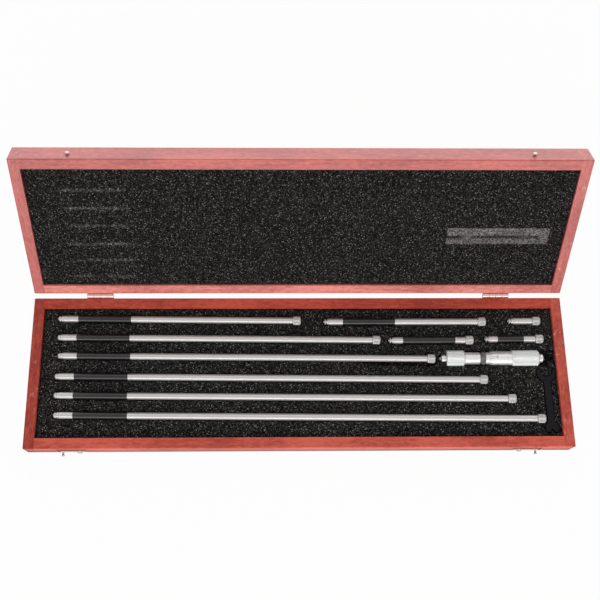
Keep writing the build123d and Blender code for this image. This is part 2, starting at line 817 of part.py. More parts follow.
def hook(side):
    """Flat hook with a notch for the catch pin and a knob for the finger, lying outwards."""
    eye = Circle(HOOK_EYE_RADIUS)
    arm = Pos((HOOK_REACH - HOOK_TAIL) / 2, 0) * SlotOverall(
        HOOK_REACH + HOOK_TAIL, 2 * HOOK_ARM_HALF_WIDTH
    )
    end = Pos(HOOK_REACH, 0) * Circle(HOOK_END_RADIUS)
    notch_radius = CATCH_NECK_RADIUS + HOOK_NOTCH_ROOM
    notch = Pos(HOOK_REACH, 0) * Circle(notch_radius)
    mouth = Pos(HOOK_REACH, HOOK_END_RADIUS / 2) * Rectangle(2 * notch_radius, HOOK_END_RADIUS)
    outline = eye + arm + end - Circle(PIVOT_SCREW_RADIUS + SLIDE_FIT) - notch - mouth
    plate = Pos(0, -HOOK_OFF_WOOD, 0) * extrude(Plane.XZ * outline, HOOK_THICKNESS)
    face = HOOK_OFF_WOOD + HOOK_THICKNESS
    knob = Pos(HOOK_KNOB_REACH, 0, 0) * turned_outward(
        (face, HOOK_KNOB_RADIUS - HOOK_KNOB_EDGE),
        (face + HOOK_KNOB_HEIGHT / 2, HOOK_KNOB_RADIUS - HOOK_KNOB_EDGE),
        (face + HOOK_KNOB_HEIGHT - HOOK_KNOB_EDGE, HOOK_KNOB_RADIUS),
        (face + HOOK_KNOB_HEIGHT, HOOK_KNOB_RADIUS - HOOK_KNOB_EDGE),
    )
    latch = plate + knob
    if side < 0:
        latch = mirror(latch, Plane.YZ)
    return pivot_place(side) * latch


# Assembly

def case_pieces():
    """Boards and foam of the base and of the open lid."""
    bottom_panel = panel_block(0)
    top_panel = panel_block(lid_top - PANEL_THICKNESS)
    base = rails(board_ring(0, BASE_HEIGHT, bottom_panel), 0, BASE_HEIGHT)
    lid = rails(board_ring(lid_rim, lid_top, top_panel), lid_rim, lid_top)
    for side in (-1, 1):
        base["front"] -= pivot_place(side) * pivot_shank()
        lid["front"] -= catch_place(side) * catch_shank()
        for place in leaf_screw_places(side, -1):
            base["back"] -= place * small_screw_shank()
        for place in leaf_screw_places(side, 1):
            lid["back"] -= place * small_screw_shank()
    pieces = {f"base_{name}_rail": rail for name, rail in base.items()}
    pieces.update({f"lid_{name}_rail": swung_open(rail) for name, rail in lid.items()})
    pieces["base_bottom_panel"] = bottom_panel
    pieces["lid_top_panel"] = swung_open(top_panel)
    pieces["base_foam"] = base_foam()
    pieces["lid_foam"] = lid_foam()
    return pieces


def hinge_pieces():
    """Hinge leaves, pins and screws."""
    sides = {"left": -1, "right": 1}
    pieces = {f"{name}_hinge_base_leaf": base_hinge_leaf(side) for name, side in sides.items()}
    pieces.update({f"{name}_hinge_lid_leaf": lid_hinge_leaf(side) for name, side in sides.items()})
    pieces["hinge_pins"] = Compound([hinge_pin(side) for side in sides.values()])
    base_screws = [place * small_screw() for side in (-1, 1) for place in leaf_screw_places(side, -1)]
    lid_screws = [place * small_screw() for side in (-1, 1) for place in leaf_screw_places(side, 1)]
    pieces["hinge_screws_base"] = Compound(base_screws)
    pieces["hinge_screws_lid"] = Compound([swung_open(screw) for screw in lid_screws])
    return pieces


def latch_pieces():
    """Hooks, the screws that they swing on and the catch pins of the lid."""
    return {
        "left_hook": hook(-1),
        "right_hook": hook(1),
        "hook_pivot_screws": Compound([pivot_place(side) * pivot_screw() for side in (-1, 1)]),
        "lid_catch_pins": Compound([swung_open(catch_place(side) * catch_pin()) for side in (-1, 1)]),
    }


def rod_pieces():
    """Tube, collar and grip of every extension rod."""
    pieces = {}
    for rod, place in placed_rods():
        pieces[f"{rod.name}_tube"] = place * rod_tube(rod)
        pieces[f"{rod.name}_collar"] = place * rod_collar(rod)
        if rod.grip_length:
            pieces[f"{rod.name}_grip"] = place * rod_grip(rod)
    return pieces


def head_pieces():
    """The micrometer head."""
    makers = (
        head_contact_stud,
        head_body,
        lock_ring,
        graduated_sleeve,
        adjusting_nut,
        spindle,
        thimble,
    )
    return {maker.__name__: head_place * maker() for maker in makers}


def all_pieces():
    """Every sub-part by name, where it lies with the case open."""
    return {
        **case_pieces(),
        **hinge_pieces(),
        **latch_pieces(),
        **rod_pieces(),
        **head_pieces(),
        "wrench": wrench(),
    }


os.makedirs("parts", exist_ok=True)
for node, piece in all_pieces().items():
    export_step(piece, f"parts/{node}.step")
print(f"case {case_length:.1f} x {case_depth:.1f}, head {head_length:.1f} at x {head_left:.2f}")
print(f"rods at z {rod_height:.2f}, head at z {head_height:.2f}, row {row_y(head_row):.2f}")
print(f"lid hinge at y {hinge_y:.3f} z {hinge_z:.3f}, hooks at x {latch_x:.2f} z {pivot_z:.2f}")
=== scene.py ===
"""Looks of an inside micrometer: a screw head, extension rods and a wrench in a hinged wooden case.

Metres. X runs along the case, Y from its front to its back and Z up. The case stands open at rest.
"""

import json
import logging
import math
from dataclasses import dataclass, field
from enum import Enum, IntEnum

import bmesh
import bpy
import numpy as np
from mathutils import Matrix, Vector, geometry, kdtree, noise


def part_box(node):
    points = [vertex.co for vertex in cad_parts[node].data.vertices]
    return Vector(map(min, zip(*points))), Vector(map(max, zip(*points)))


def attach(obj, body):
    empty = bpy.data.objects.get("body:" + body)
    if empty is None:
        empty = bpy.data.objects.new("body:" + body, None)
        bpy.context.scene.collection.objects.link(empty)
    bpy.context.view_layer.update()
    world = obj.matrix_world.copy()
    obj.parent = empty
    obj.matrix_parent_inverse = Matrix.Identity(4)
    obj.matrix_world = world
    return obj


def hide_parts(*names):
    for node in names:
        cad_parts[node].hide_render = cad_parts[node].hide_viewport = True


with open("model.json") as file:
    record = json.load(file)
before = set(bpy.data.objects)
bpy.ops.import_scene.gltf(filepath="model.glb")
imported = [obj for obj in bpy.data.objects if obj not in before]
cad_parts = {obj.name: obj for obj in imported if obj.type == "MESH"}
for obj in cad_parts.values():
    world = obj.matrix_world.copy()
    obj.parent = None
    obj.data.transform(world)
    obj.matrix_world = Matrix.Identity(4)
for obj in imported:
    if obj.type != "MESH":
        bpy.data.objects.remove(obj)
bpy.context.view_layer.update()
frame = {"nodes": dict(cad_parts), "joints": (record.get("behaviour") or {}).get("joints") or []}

LOG = logging.getLogger("inside_micrometer")
MM = 0.001
INCH = 0.0254
ROD_INCHES = (1, 2, 3, 6, 9, 12, 14, 16, 17, 18)
FIRST_LONG_ROD = 9
SAME_PLACE = 1e-6
TOUCHING = 1e-7
TINY = 1e-18
SHARP_METAL = math.radians(32)
SHARP_FOAM = math.radians(60)
FLAT_ANGLE = math.radians(1.0)
BEVELLED_ANGLE = math.radians(40)
Colour = tuple[float, float, float]
Point = tuple[float, float, float]
Faces = list[tuple[int, ...]]
Socket = bpy.types.NodeSocket
Material = bpy.types.Material
Mesh = bpy.types.Mesh


class Slot(Enum):
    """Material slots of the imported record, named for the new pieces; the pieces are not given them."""

    FOAM = "black_foam"
    STEEL = "satin_steel"
    KNURLED = "knurled_chrome"
    CHROME = "satin_chrome"
    BLUED = "blued_steel"
    BLACK_OXIDE = "black_oxide"
    GRIP = "grip_plastic"
    NICKEL = "nickel"
    HINGE = "hinge_metal"


class Grain(Enum):
    """Axis of the frame that a board's grain runs along while the case is shut."""

    ALONG_CASE = 0
    ACROSS_CASE = 1


class Body(Enum):
    """Bodies of the frame that pieces ride on."""

    BASE = "case_base"
    LID = "lid"
    LEFT_HOOK = "left_hook"
    RIGHT_HOOK = "right_hook"
    LOCK_RING = "lock_ring"
    SPINDLE = "spindle"
    THIMBLE = "thimble"


def joint(name: str) -> dict:
    """A joint of the frame by its name."""
    return next(entry for entry in frame["joints"] if entry["name"] == name)


def open_angle() -> float:
    """Angle in radians that the lid stands open at rest."""
    return math.radians(joint("lid_hinge")["range_deg"][1])


def lid_swing() -> Matrix:
    """Finds the turn that takes a point of the shut lid to where it stands with the lid open.

    Returns:
        The turn about the hinge's axis.
    """
    hinge = joint("lid_hinge")
    centre = Vector(hinge["pos_m"])
    turn = Matrix.Rotation(-open_angle(), 4, Vector(hinge["axis"]))
    return Matrix.Translation(centre) @ turn @ Matrix.Translation(-centre)


# Materials

class Tree:
    """Node tree, with short calls for its nodes."""

    def __init__(self, tree: bpy.types.NodeTree) -> None:
        """Keeps Blender's own tree."""
        self.tree = tree

    def connect(self, source: Socket, target: Socket) -> None:
        """Links two sockets."""
        self.tree.links.new(source, target)

    def feed(self, target: Socket, value: object) -> None:
        """Links a socket to an input, or sets the input to a constant.

        Args:
            target: The input.
            value: Another node's socket, a number or a colour.
        """
        if isinstance(value, bpy.types.NodeSocket):
            self.connect(value, target)
        elif isinstance(value, tuple) and len(value) == 3 and target.type == "RGBA":
            target.default_value = (*value, 1.0)
        else:
            target.default_value = value

    def add(self, kind: str, inputs: dict | None = None, **settings: object) -> bpy.types.Node:
        """Adds a node.

        Args:
            kind: Blender's name of the node type.
            inputs: What its sockets take, by socket name or number.
            **settings: Properties of the node itself.

        Returns:
            The new node.
        """
        node = self.tree.nodes.new(kind)
        for key, value in settings.items():
            setattr(node, key, value)
        for key, value in (inputs or {}).items():
            self.feed(node.inputs[key], value)
        return node

    def math(self, operation: str, first: object, second: object = 0.0) -> Socket:
        """Result of a calculation on one or two values."""
        return self.add("ShaderNodeMath", {0: first, 1: second}, operation=operation).outputs[0]

    def plus(self, first: object, second: object) -> Socket:
        """Sum of two values."""
        return self.math("ADD", first, second)

    def minus(self, first: object, second: object) -> Socket:
        """First value less the second."""
        return self.math("SUBTRACT", first, second)

    def times(self, first: object, second: object) -> Socket:
        """Product of two values."""
        return self.math("MULTIPLY", first, second)

    def seen(self) -> Socket:
        """1 for rays from the camera and for reflections, and 0 for all others."""
        path = self.add("ShaderNodeLightPath")
        return self.math("MAXIMUM", path.outputs["Is Camera Ray"], path.outputs["Is Glossy Ray"])


class Graph(Tree):
    """Node tree of one material, with short calls for the nodes that the finishes share."""

    def __init__(self, name: str) -> None:
        """Starts a material with a principled shader on its output.

        Args:
            name: Name of the material.
        """
        self.material = bpy.data.materials.new(name)
        self.material.use_nodes = True
        super().__init__(self.material.node_tree)
        self.tree.nodes.clear()
        self.output = self.add("ShaderNodeOutputMaterial")
        self.shader = self.add("ShaderNodeBsdfPrincipled")
        self.connect(self.shader.outputs[0], self.output.inputs["Surface"])
        self.place = self.add("ShaderNodeTexCoord").outputs["Object"]

    def shifted(self, place: Socket, by: Point, operation: str = "ADD") -> Socket:
        """Place moved by a vector, or back by it with the operation SUBTRACT."""
        return self.add("ShaderNodeVectorMath", {0: place, 1: by}, operation=operation).outputs[0]

    def turned(self, place: Socket, turn: float) -> Socket:
        """Place turned about X by an angle in radians."""
        return self.add("ShaderNodeMapping", {"Vector": place, "Rotation": (turn, 0.0, 0.0)}).outputs[0]

    def scaled(self, place: Socket, scale: Point) -> Socket:
        """Place scaled along each axis."""
        return self.add("ShaderNodeMapping", {"Vector": place, "Scale": scale}).outputs[0]

    def noise(self, place: Socket, scale: float, detail: float = 2.0, distortion: float = 0.0) -> Socket:
        """Grey noise from 0 to 1 at a place."""
        inputs = {"Vector": place, "Scale": scale, "Detail": detail, "Distortion": distortion}
        return self.add("ShaderNodeTexNoise", inputs).outputs[0]

    def cells(self, place: Socket, scale: float) -> bpy.types.Node:
        """Voronoi cells at a place."""
        return self.add("ShaderNodeTexVoronoi", {"Vector": place, "Scale": scale}, feature="F1")

    def ramp(self, value: Socket, low: float, high: float, start: float = 0.0, end: float = 1.0) -> Socket:
        """Value between low and high spread smoothly over start to end."""
        inputs = {"Value": value, "From Min": low, "From Max": high, "To Min": start, "To Max": end}
        return self.add("ShaderNodeMapRange", inputs, interpolation_type="SMOOTHSTEP").outputs[0]

    def window(self, value: Socket, low: float, high: float, soft: float) -> Socket:
        """1 between low and high, and 0 outside over a soft edge."""
        rise = self.ramp(value, low - soft, low + soft)
        return self.times(rise, self.ramp(value, high - soft, high + soft, 1.0, 0.0))

    def mix(self, share: object, first: object, second: object, blend: str = "MIX") -> Socket:
        """Mixes two colours.

        Args:
            share: Share of the second colour.
            first: First colour.
            second: Second colour.
            blend: Blender's name of the way of mixing.

        Returns:
            The mixed colour.
        """
        node = self.add("ShaderNodeMix", data_type="RGBA", blend_type=blend)
        for number, value in ((0, share), (6, first), (7, second)):
            self.feed(node.inputs[number], value)
        return node.outputs[2]

    def axis(self, place: Socket, name: str) -> Socket:
        """One coordinate of a place."""
        return self.add("ShaderNodeSeparateXYZ", {"Vector": place}).outputs[name]

    def bump(self, height: Socket, depth: float) -> None:
        """Gives the shader a bumpy surface of a depth in metres."""
        node = self.add("ShaderNodeBump", {"Height": height, "Distance": depth, "Strength": 1.0})
        self.connect(node.outputs[0], self.shader.inputs["Normal"])

    def finish(self, **sockets: object) -> Material:
        """Sets the shader's own sockets.

        Args:
            **sockets: Values by the name of the socket, in lower case and with _ for a space.

        Returns:
            The finished material.
        """
        for key, value in sockets.items():
            self.feed(self.shader.inputs[key.replace("_", " ").title().replace("Ior", "IOR")], value)
        return self.material


def shaded(colour: Colour, share: float) -> Colour:
    """A colour with every channel taken to a share of itself."""
    return tuple(part * share for part in colour)


@dataclass(frozen=True)
class Cloud:
    """Noise whose part between two levels is spread over a range."""

    scale: float
    detail: float
    low: float
    high: float
    start: float = 0.0
    end: float = 1.0

    def draw(self, graph: Graph, place: Socket | None = None) -> Socket:
        """Draws the noise at a place, which is the piece's own unless given."""
        grey = graph.noise(place or graph.place, self.scale, self.detail)
        return graph.ramp(grey, self.low, self.high, self.start, self.end)


@dataclass(frozen=True)
class Layer:
    """Layer of noise in a wood: its share of the tone, and how it is drawn out along the grain."""

    share: float
    scale: float
    detail: float
    distortion: float = 0.0
    stretch: float = 1.0


@dataclass(frozen=True)
class StainedWood:
    """Fine-grained hardwood under a red stain and a satin varnish."""

    name: str
    dark: Colour
    light: Colour
    grain: Grain
    turn: float = 0.0
    offset: float = 0.0
    roughness: float = 0.42
    varnish: float = 0.0
    varnish_roughness: float = 0.28
    gloss: float = 0.40
    fibres: Layer = Layer(0.15, 1500.0, 3.0, 0.4, 0.05)
    bands: Layer = Layer(0.20, 190.0, 2.0, 1.2, 0.05)
    mottle: Layer = Layer(0.30, 45.0, 3.0, 0.8, 0.35)
    flakes: Layer = Layer(0.35, 430.0, 2.0, 0.5, 0.40)
    slow: Layer = Layer(0.30, 11.0, 1.0)
    pores: Layer = Layer(0.35, 3200.0, 1.0, 0.0, 0.05)
    pore_range: tuple[float, float] = (0.60, 0.74)
    pore_shade: float = 0.35
    tone_range: tuple[float, float] = (0.50, 0.80)
    relief: float = 0.03 * MM
    scratched: float = 0.0
    scratch_scale: float = 95.0
    scratch_width: tuple[float, float] = (0.006, 0.022)
    scratch_breaks: Cloud = Cloud(150.0, 2.0, 0.56, 0.62)
    scratch_colour: Colour = (0.80, 0.42, 0.36)
    # Painted shade at the bottom of the outer faces: share of the colour that is kept at the foot.
    foot_shade: float = 1.0
    foot_height: float = 15.0 * MM

    def drawn(self, graph: Graph, place: Socket, layer: Layer) -> Socket:
        """Noise of one layer, stretched along the grain."""
        scale = tuple(layer.stretch if axis == self.grain.value else 1.0 for axis in range(3))
        return graph.noise(graph.scaled(place, scale), layer.scale, layer.detail, layer.distortion)

    def scratches(self, graph: Graph) -> Socket:
        """Draws short pale scratches, as broken contour lines of a slow noise.

        Args:
            graph: Node tree of the material.

        Returns:
            Share of the scratches' colour.
        """
        slope = graph.minus(graph.noise(graph.place, self.scratch_scale, 1.0), 0.5)
        line = graph.ramp(graph.math("ABSOLUTE", slope), *self.scratch_width, 1.0, 0.0)
        return graph.times(graph.times(line, self.scratch_breaks.draw(graph)), self.scratched)

    def build(self) -> Material:
        """Makes the material.

        Returns:
            Material with fibres, short pores, a flaky figure and slow mottling along the grain.
        """
        graph = Graph(self.name)
        place = graph.shifted(graph.turned(graph.place, self.turn), (self.offset,) * 3)
        fibres = self.drawn(graph, place, self.fibres)
        pores = graph.ramp(self.drawn(graph, place, self.pores), *self.pore_range)
        tone = graph.times(fibres, self.fibres.share)
        for layer in (self.bands, self.mottle, self.flakes, self.slow):
            tone = graph.plus(tone, graph.times(self.drawn(graph, place, layer), layer.share))
        colour = graph.mix(graph.ramp(tone, *self.tone_range), self.dark, self.light)
        pore_colour = shaded(self.dark, self.pore_shade)
        colour = graph.mix(graph.times(pores, self.pores.share), colour, pore_colour)
        if self.scratched:
            colour = graph.mix(self.scratches(graph), colour, self.scratch_colour)
        # Painted shade: the boards get darker towards the bottom, below foot_height.
        if self.foot_shade < 1.0:
            height = graph.axis(graph.place, "Z")
            shade = graph.ramp(height, 0.0, self.foot_height, self.foot_shade, 1.0)
            colour = graph.mix(1.0, colour, shade, "MULTIPLY")
        graph.bump(graph.minus(fibres, pores), self.relief)
        return graph.finish(
            base_color=colour,
            roughness=graph.ramp(fibres, 0.2, 0.8, self.roughness - 0.05, self.roughness + 0.07),
            specular_ior_level=self.gloss,
            coat_weight=self.varnish,
            coat_roughness=self.varnish_roughness,
        )


@dataclass(frozen=True)
class Specks:
    """Specks of one size in cut foam: their cells, the share that stays dark, and their weight."""

    cell: float
    dark_share: float
    weight: float


@dataclass(frozen=True)
class RubbedMark:
    """Pale patch that the head's grip has rubbed into the lid's foam, and the rods' faint streaks."""

    left: float
    right: float
    front: float
    back: float
    crease: float
    streak_rows: tuple[float, ...]
    streak_left: float
    streak_right: float
    pale: Colour = (0.158, 0.148, 0.145)
    cover: float = 0.93
    side_fray: float = 2.6 * MM
    edge_fray: float = 2.0 * MM
    side_soft: float = 0.9 * MM
    edge_soft: float = 0.7 * MM
    crease_half: float = 1.5 * MM
    crease_soft: float = 1.2 * MM
    crease_depth: float = 0.92
    crease_breaks: Cloud = Cloud(46.0, 1.0, 0.38, 0.52)
    front_level: float = 0.77
    fray_scale: float = 420.0
    fuzz: Cloud = Cloud(760.0, 3.0, 0.36, 0.64, 0.28, 1.70)
    slow_fuzz: Cloud = Cloud(140.0, 2.0, 0.35, 0.65, 0.80, 1.18)
    speck_weight: float = 0.5
    streak_fray: float = 3.0 * MM
    streak_half: float = 1.2 * MM
    streak_soft: float = 1.6 * MM
    streak_fade: float = 6.0 * MM
    streak_patches: Cloud = Cloud(95.0, 2.0, 0.28, 0.52)
    streak_base: float = 0.15
    streak_weight: float = 0.27

    def shut_place(self, graph: Graph, turn: float) -> tuple[Socket, Socket]:
        """Finds where a point of the lid lies while the case is shut.

        Args:
            graph: Node tree of the material.
            turn: Angle that the lid stands open.

        Returns:
            Coordinates along and across the shut lid.
        """
        hinge = tuple(joint("lid_hinge")["pos_m"])
        turned = graph.turned(graph.shifted(graph.place, hinge, "SUBTRACT"), turn)
        shut = graph.shifted(turned, hinge)
        return graph.axis(shut, "X"), graph.axis(shut, "Y")

    def frayed(self, graph: Graph, value: Socket, amount: float) -> Socket:
        """A coordinate with its straight lines frayed by fine noise."""
        fray = graph.minus(graph.noise(graph.place, self.fray_scale, 2.0), 0.5)
        return graph.plus(value, graph.times(fray, amount))

    def patch(self, graph: Graph, turn: float, colour: Socket, large: Socket) -> Socket:
        """Lays the rubbed patch over the foam.

        Args:
            graph: Node tree of the material.
            turn: Angle that the lid stands open.
            colour: Colour of the foam.
            large: Brightness of its large specks.

        Returns:
            Colour with the fuzzy patch and the dark crease across it.
        """
        along, across = self.shut_place(graph, turn)
        along = self.frayed(graph, along, self.side_fray)
        across = self.frayed(graph, across, self.edge_fray)
        inside = graph.times(
            graph.window(along, self.left, self.right, self.side_soft),
            graph.window(across, self.front, self.back, self.edge_soft),
        )
        low, high = self.crease - self.crease_half, self.crease + self.crease_half
        crease = graph.window(across, low, high, self.crease_soft)
        broken = self.crease_breaks.draw(graph, graph.scaled(graph.place, (1.0, 0.3, 0.3)))
        crease = graph.times(crease, graph.times(broken, self.crease_depth))
        fuzz = graph.times(self.fuzz.draw(graph), self.slow_fuzz.draw(graph))
        fuzz = graph.plus(fuzz, graph.times(large, self.speck_weight))
        level = graph.ramp(across, self.crease - MM, self.crease + MM, 1.0, self.front_level)
        pale = graph.mix(1.0, self.pale, graph.times(fuzz, level), "MULTIPLY")
        share = graph.times(inside, graph.minus(1.0, crease))
        return graph.mix(graph.times(share, self.cover), colour, pale)

    def streaks(self, graph: Graph, turn: float, grain: Socket) -> Socket:
        """Draws the streaks where the rods' grips have pressed the lid's foam.

        Args:
            graph: Node tree of the material.
            turn: Angle that the lid stands open.
            grain: Fine grain of the foam.

        Returns:
            Extra share of flecks.
        """
        along, across = self.shut_place(graph, turn)
        across = self.frayed(graph, across, self.streak_fray)
        total = 0.0
        for row in self.streak_rows:
            low, high = row - self.streak_half, row + self.streak_half
            total = graph.plus(total, graph.window(across, low, high, self.streak_soft))
        reach = graph.window(along, self.streak_left, self.streak_right, self.streak_fade)
        share = graph.times(graph.times(total, reach), self.streak_patches.draw(graph))
        return graph.times(graph.plus(grain, self.streak_base), graph.times(share, self.streak_weight))


@dataclass(frozen=True)
class Flecked:
    """Black open-cell foam whose cut cell walls show as fine grey flecks, with painted glints of random
    brightness in its colour.
    """

    name: str
    dark: Colour = (0.0062, 0.0058, 0.0056)
    fleck: Colour = (0.570, 0.552, 0.542)
    warmth: Colour = (1.0, 0.95, 0.90)
    large: Specks = Specks(1.30 * MM, 0.48, 0.55)
    small: Specks = Specks(0.85 * MM, 0.35, 0.32)
    speck_power: float = 2.2
    speck_edge: tuple[float, float] = (0.32, 0.66)
    ragged_scale: float = 2600.0
    raggedness: float = 0.40
    grain: Cloud = Cloud(520.0, 3.0, 0.42, 0.75)
    grain_weight: float = 0.045
    skin_scale: float = 900.0
    relief: float = 0.6 * MM
    rubbed: RubbedMark | None = None
    turn: float = 0.0

    def glints(self, graph: Graph, specks: Specks) -> Socket:
        """Draws the specks of one size, each with its own brightness of painted glint.

        Args:
            graph: Node tree of the material.
            specks: Their size and share.

        Returns:
            Brightness from 0 to 1.
        """
        cells = graph.cells(graph.place, 1.0 / specks.cell)
        chance = graph.axis(cells.outputs["Color"], "X")
        lit = graph.math("POWER", graph.ramp(chance, specks.dark_share, 1.0), self.speck_power)
        ragged = graph.times(graph.noise(graph.place, self.ragged_scale, 2.0), self.raggedness)
        distance = graph.plus(cells.outputs["Distance"], ragged)
        return graph.times(lit, graph.ramp(distance, *self.speck_edge, 1.0, 0.0))

    def build(self) -> Material:
        """Makes the material.

        Returns:
            Material with cells, flecked walls with painted glints and, on the lid, a rubbed patch and
            faint streaks.
        """
        graph = Graph(self.name)
        large = self.glints(graph, self.large)
        small = self.glints(graph, self.small)
        grain = self.grain.draw(graph)
        level = graph.plus(graph.times(large, self.large.weight), graph.times(small, self.small.weight))
        level = graph.plus(level, graph.times(grain, self.grain_weight))
        if self.rubbed is not None:
            level = graph.plus(level, self.rubbed.streaks(graph, self.turn, grain))
        cells = graph.cells(graph.place, 1.0 / self.large.cell)
        warm = graph.ramp(graph.axis(cells.outputs["Color"], "Z"), 0.3, 0.9)
        tinted = tuple(part * share for part, share in zip(self.fleck, self.warmth))
        colour = graph.mix(level, self.dark, graph.mix(warm, self.fleck, tinted))
        if self.rubbed is not None:
            colour = self.rubbed.patch(graph, self.turn, colour, large)
        graph.bump(graph.noise(graph.place, self.skin_scale, 2.0), self.relief)
        return graph.finish(base_color=colour, roughness=0.95, specular_ior_level=0.03)


@dataclass(frozen=True)
class TurnedMetal:
    """Metal finished on a lathe or grinder, with fine lines round its axis."""

    name: str
    colour: Colour
    roughness: float
    metallic: float = 0.8
    ground_lengthwise: bool = False
    lines: float = 2600.0
    line_depth: float = 0.0006 * MM
    cloud_scale: float = 90.0
    stain: float = 0.06
    stain_shade: float = 0.55
    rougher: tuple[float, float] = (-0.05, 0.06)

    def build(self) -> Material:
        """Makes the material.

        Returns:
            Metal whose fine lines run round the X axis of the piece, or along it where it is ground.
        """
        graph = Graph(self.name)
        stretch = (0.01, 1.0, 1.0) if self.ground_lengthwise else (1.0, 0.03, 0.03)
        turning = graph.noise(graph.scaled(graph.place, stretch), self.lines, 2.0)
        cloud = graph.noise(graph.place, self.cloud_scale, 3.0)
        share = graph.ramp(cloud, 0.3, 0.75, 0.0, self.stain)
        colour = graph.mix(share, self.colour, shaded(self.colour, self.stain_shade))
        mixed = graph.plus(graph.times(turning, 0.5), graph.times(cloud, 0.5))
        rough = graph.ramp(mixed, 0.25, 0.75, *(self.roughness + more for more in self.rougher))
        graph.bump(turning, self.line_depth)
        return graph.finish(base_color=colour, roughness=rough, metallic=self.metallic)


@dataclass(frozen=True)
class PlainMetal:
    """Small cast, stamped or blackened metal parts with a slightly clouded surface."""

    name: str
    colour: Colour
    roughness: float
    metallic: float = 0.8
    wear: Colour | None = None
    gloss: float = 0.5
    cloud_scale: float = 260.0
    wear_share: float = 0.35
    wear_shade: float = 0.7
    rougher: tuple[float, float] = (-0.07, 0.08)
    grit_scale: float = 1800.0
    relief: float = 0.004 * MM

    def build(self) -> Material:
        """Makes the material.

        Returns:
            Metal with clouded gloss and a trace of wear.
        """
        graph = Graph(self.name)
        cloud = graph.noise(graph.place, self.cloud_scale, 4.0)
        rough = graph.ramp(cloud, 0.3, 0.7, *(self.roughness + more for more in self.rougher))
        worn = self.wear or shaded(self.colour, self.wear_shade)
        colour = graph.mix(graph.ramp(cloud, 0.56, 0.80, 0.0, self.wear_share), self.colour, worn)
        graph.bump(graph.noise(graph.place, self.grit_scale, 2.0), self.relief)
        return graph.finish(
            base_color=colour, roughness=rough, metallic=self.metallic, specular_ior_level=self.gloss
        )


@dataclass(frozen=True)
class GripPlastic:
    """Black insulating sleeve, semi-gloss, with a faint haze of handling."""

    name: str
    colour: Colour = (0.0075, 0.0068, 0.0078)
    haze: Colour = (0.013, 0.0122, 0.0135)
    roughness: float = 0.20
    rougher: tuple[float, float] = (-0.06, 0.10)
    gloss: float = 0.44
    cloud_scale: float = 240.0
    haze_share: float = 0.7
    grit_scale: float = 2200.0
    relief: float = 0.004 * MM

    def build(self) -> Material:
        """Makes the material.

        Returns:
            Plastic whose haze lies in long clouds.
        """
        graph = Graph(self.name)
        cloud = graph.noise(graph.scaled(graph.place, (0.3, 1.0, 1.0)), self.cloud_scale, 3.0)
        colour = graph.mix(graph.ramp(cloud, 0.45, 0.8, 0.0, self.haze_share), self.colour, self.haze)
        rough = graph.ramp(cloud, 0.25, 0.75, *(self.roughness + more for more in self.rougher))
        graph.bump(graph.noise(graph.place, self.grit_scale, 1.0), self.relief)
        return graph.finish(base_color=colour, roughness=rough, specular_ior_level=self.gloss)


@dataclass(frozen=True)
class Enamel:
    """Black filling of the engraved divisions and numbers."""

    name: str
    colour: Colour = (0.018, 0.018, 0.020)
    worn: Cloud = Cloud(3000.0, 2.0, 0.55, 0.8, 0.0, 0.5)
    paler: float = 4.0
    roughness: float = 0.6

    def build(self) -> Material:
        """Makes the material.

        Returns:
            Dull black, worn a little paler in places.
        """
        graph = Graph(self.name)
        colour = graph.mix(self.worn.draw(graph), self.colour, shaded(self.colour, self.paler))
        return graph.finish(base_color=colour, roughness=self.roughness)


@dataclass(frozen=True)
class Stain:
    """Stain of one half of the case, with its gloss and the painted shade that darkens its foot."""

    dark: Colour
    light: Colour
    gloss: float
    foot_shade: float


@dataclass(frozen=True)
class BoardLook:
    """How one board differs from the others: its tone, its varnish and its scratches. On some boards the
    tone also carries painted light.
    """

    tone: Colour = (1.0, 1.0, 1.0)
    varnish: float = 0.45
    scratched: float = 0.0


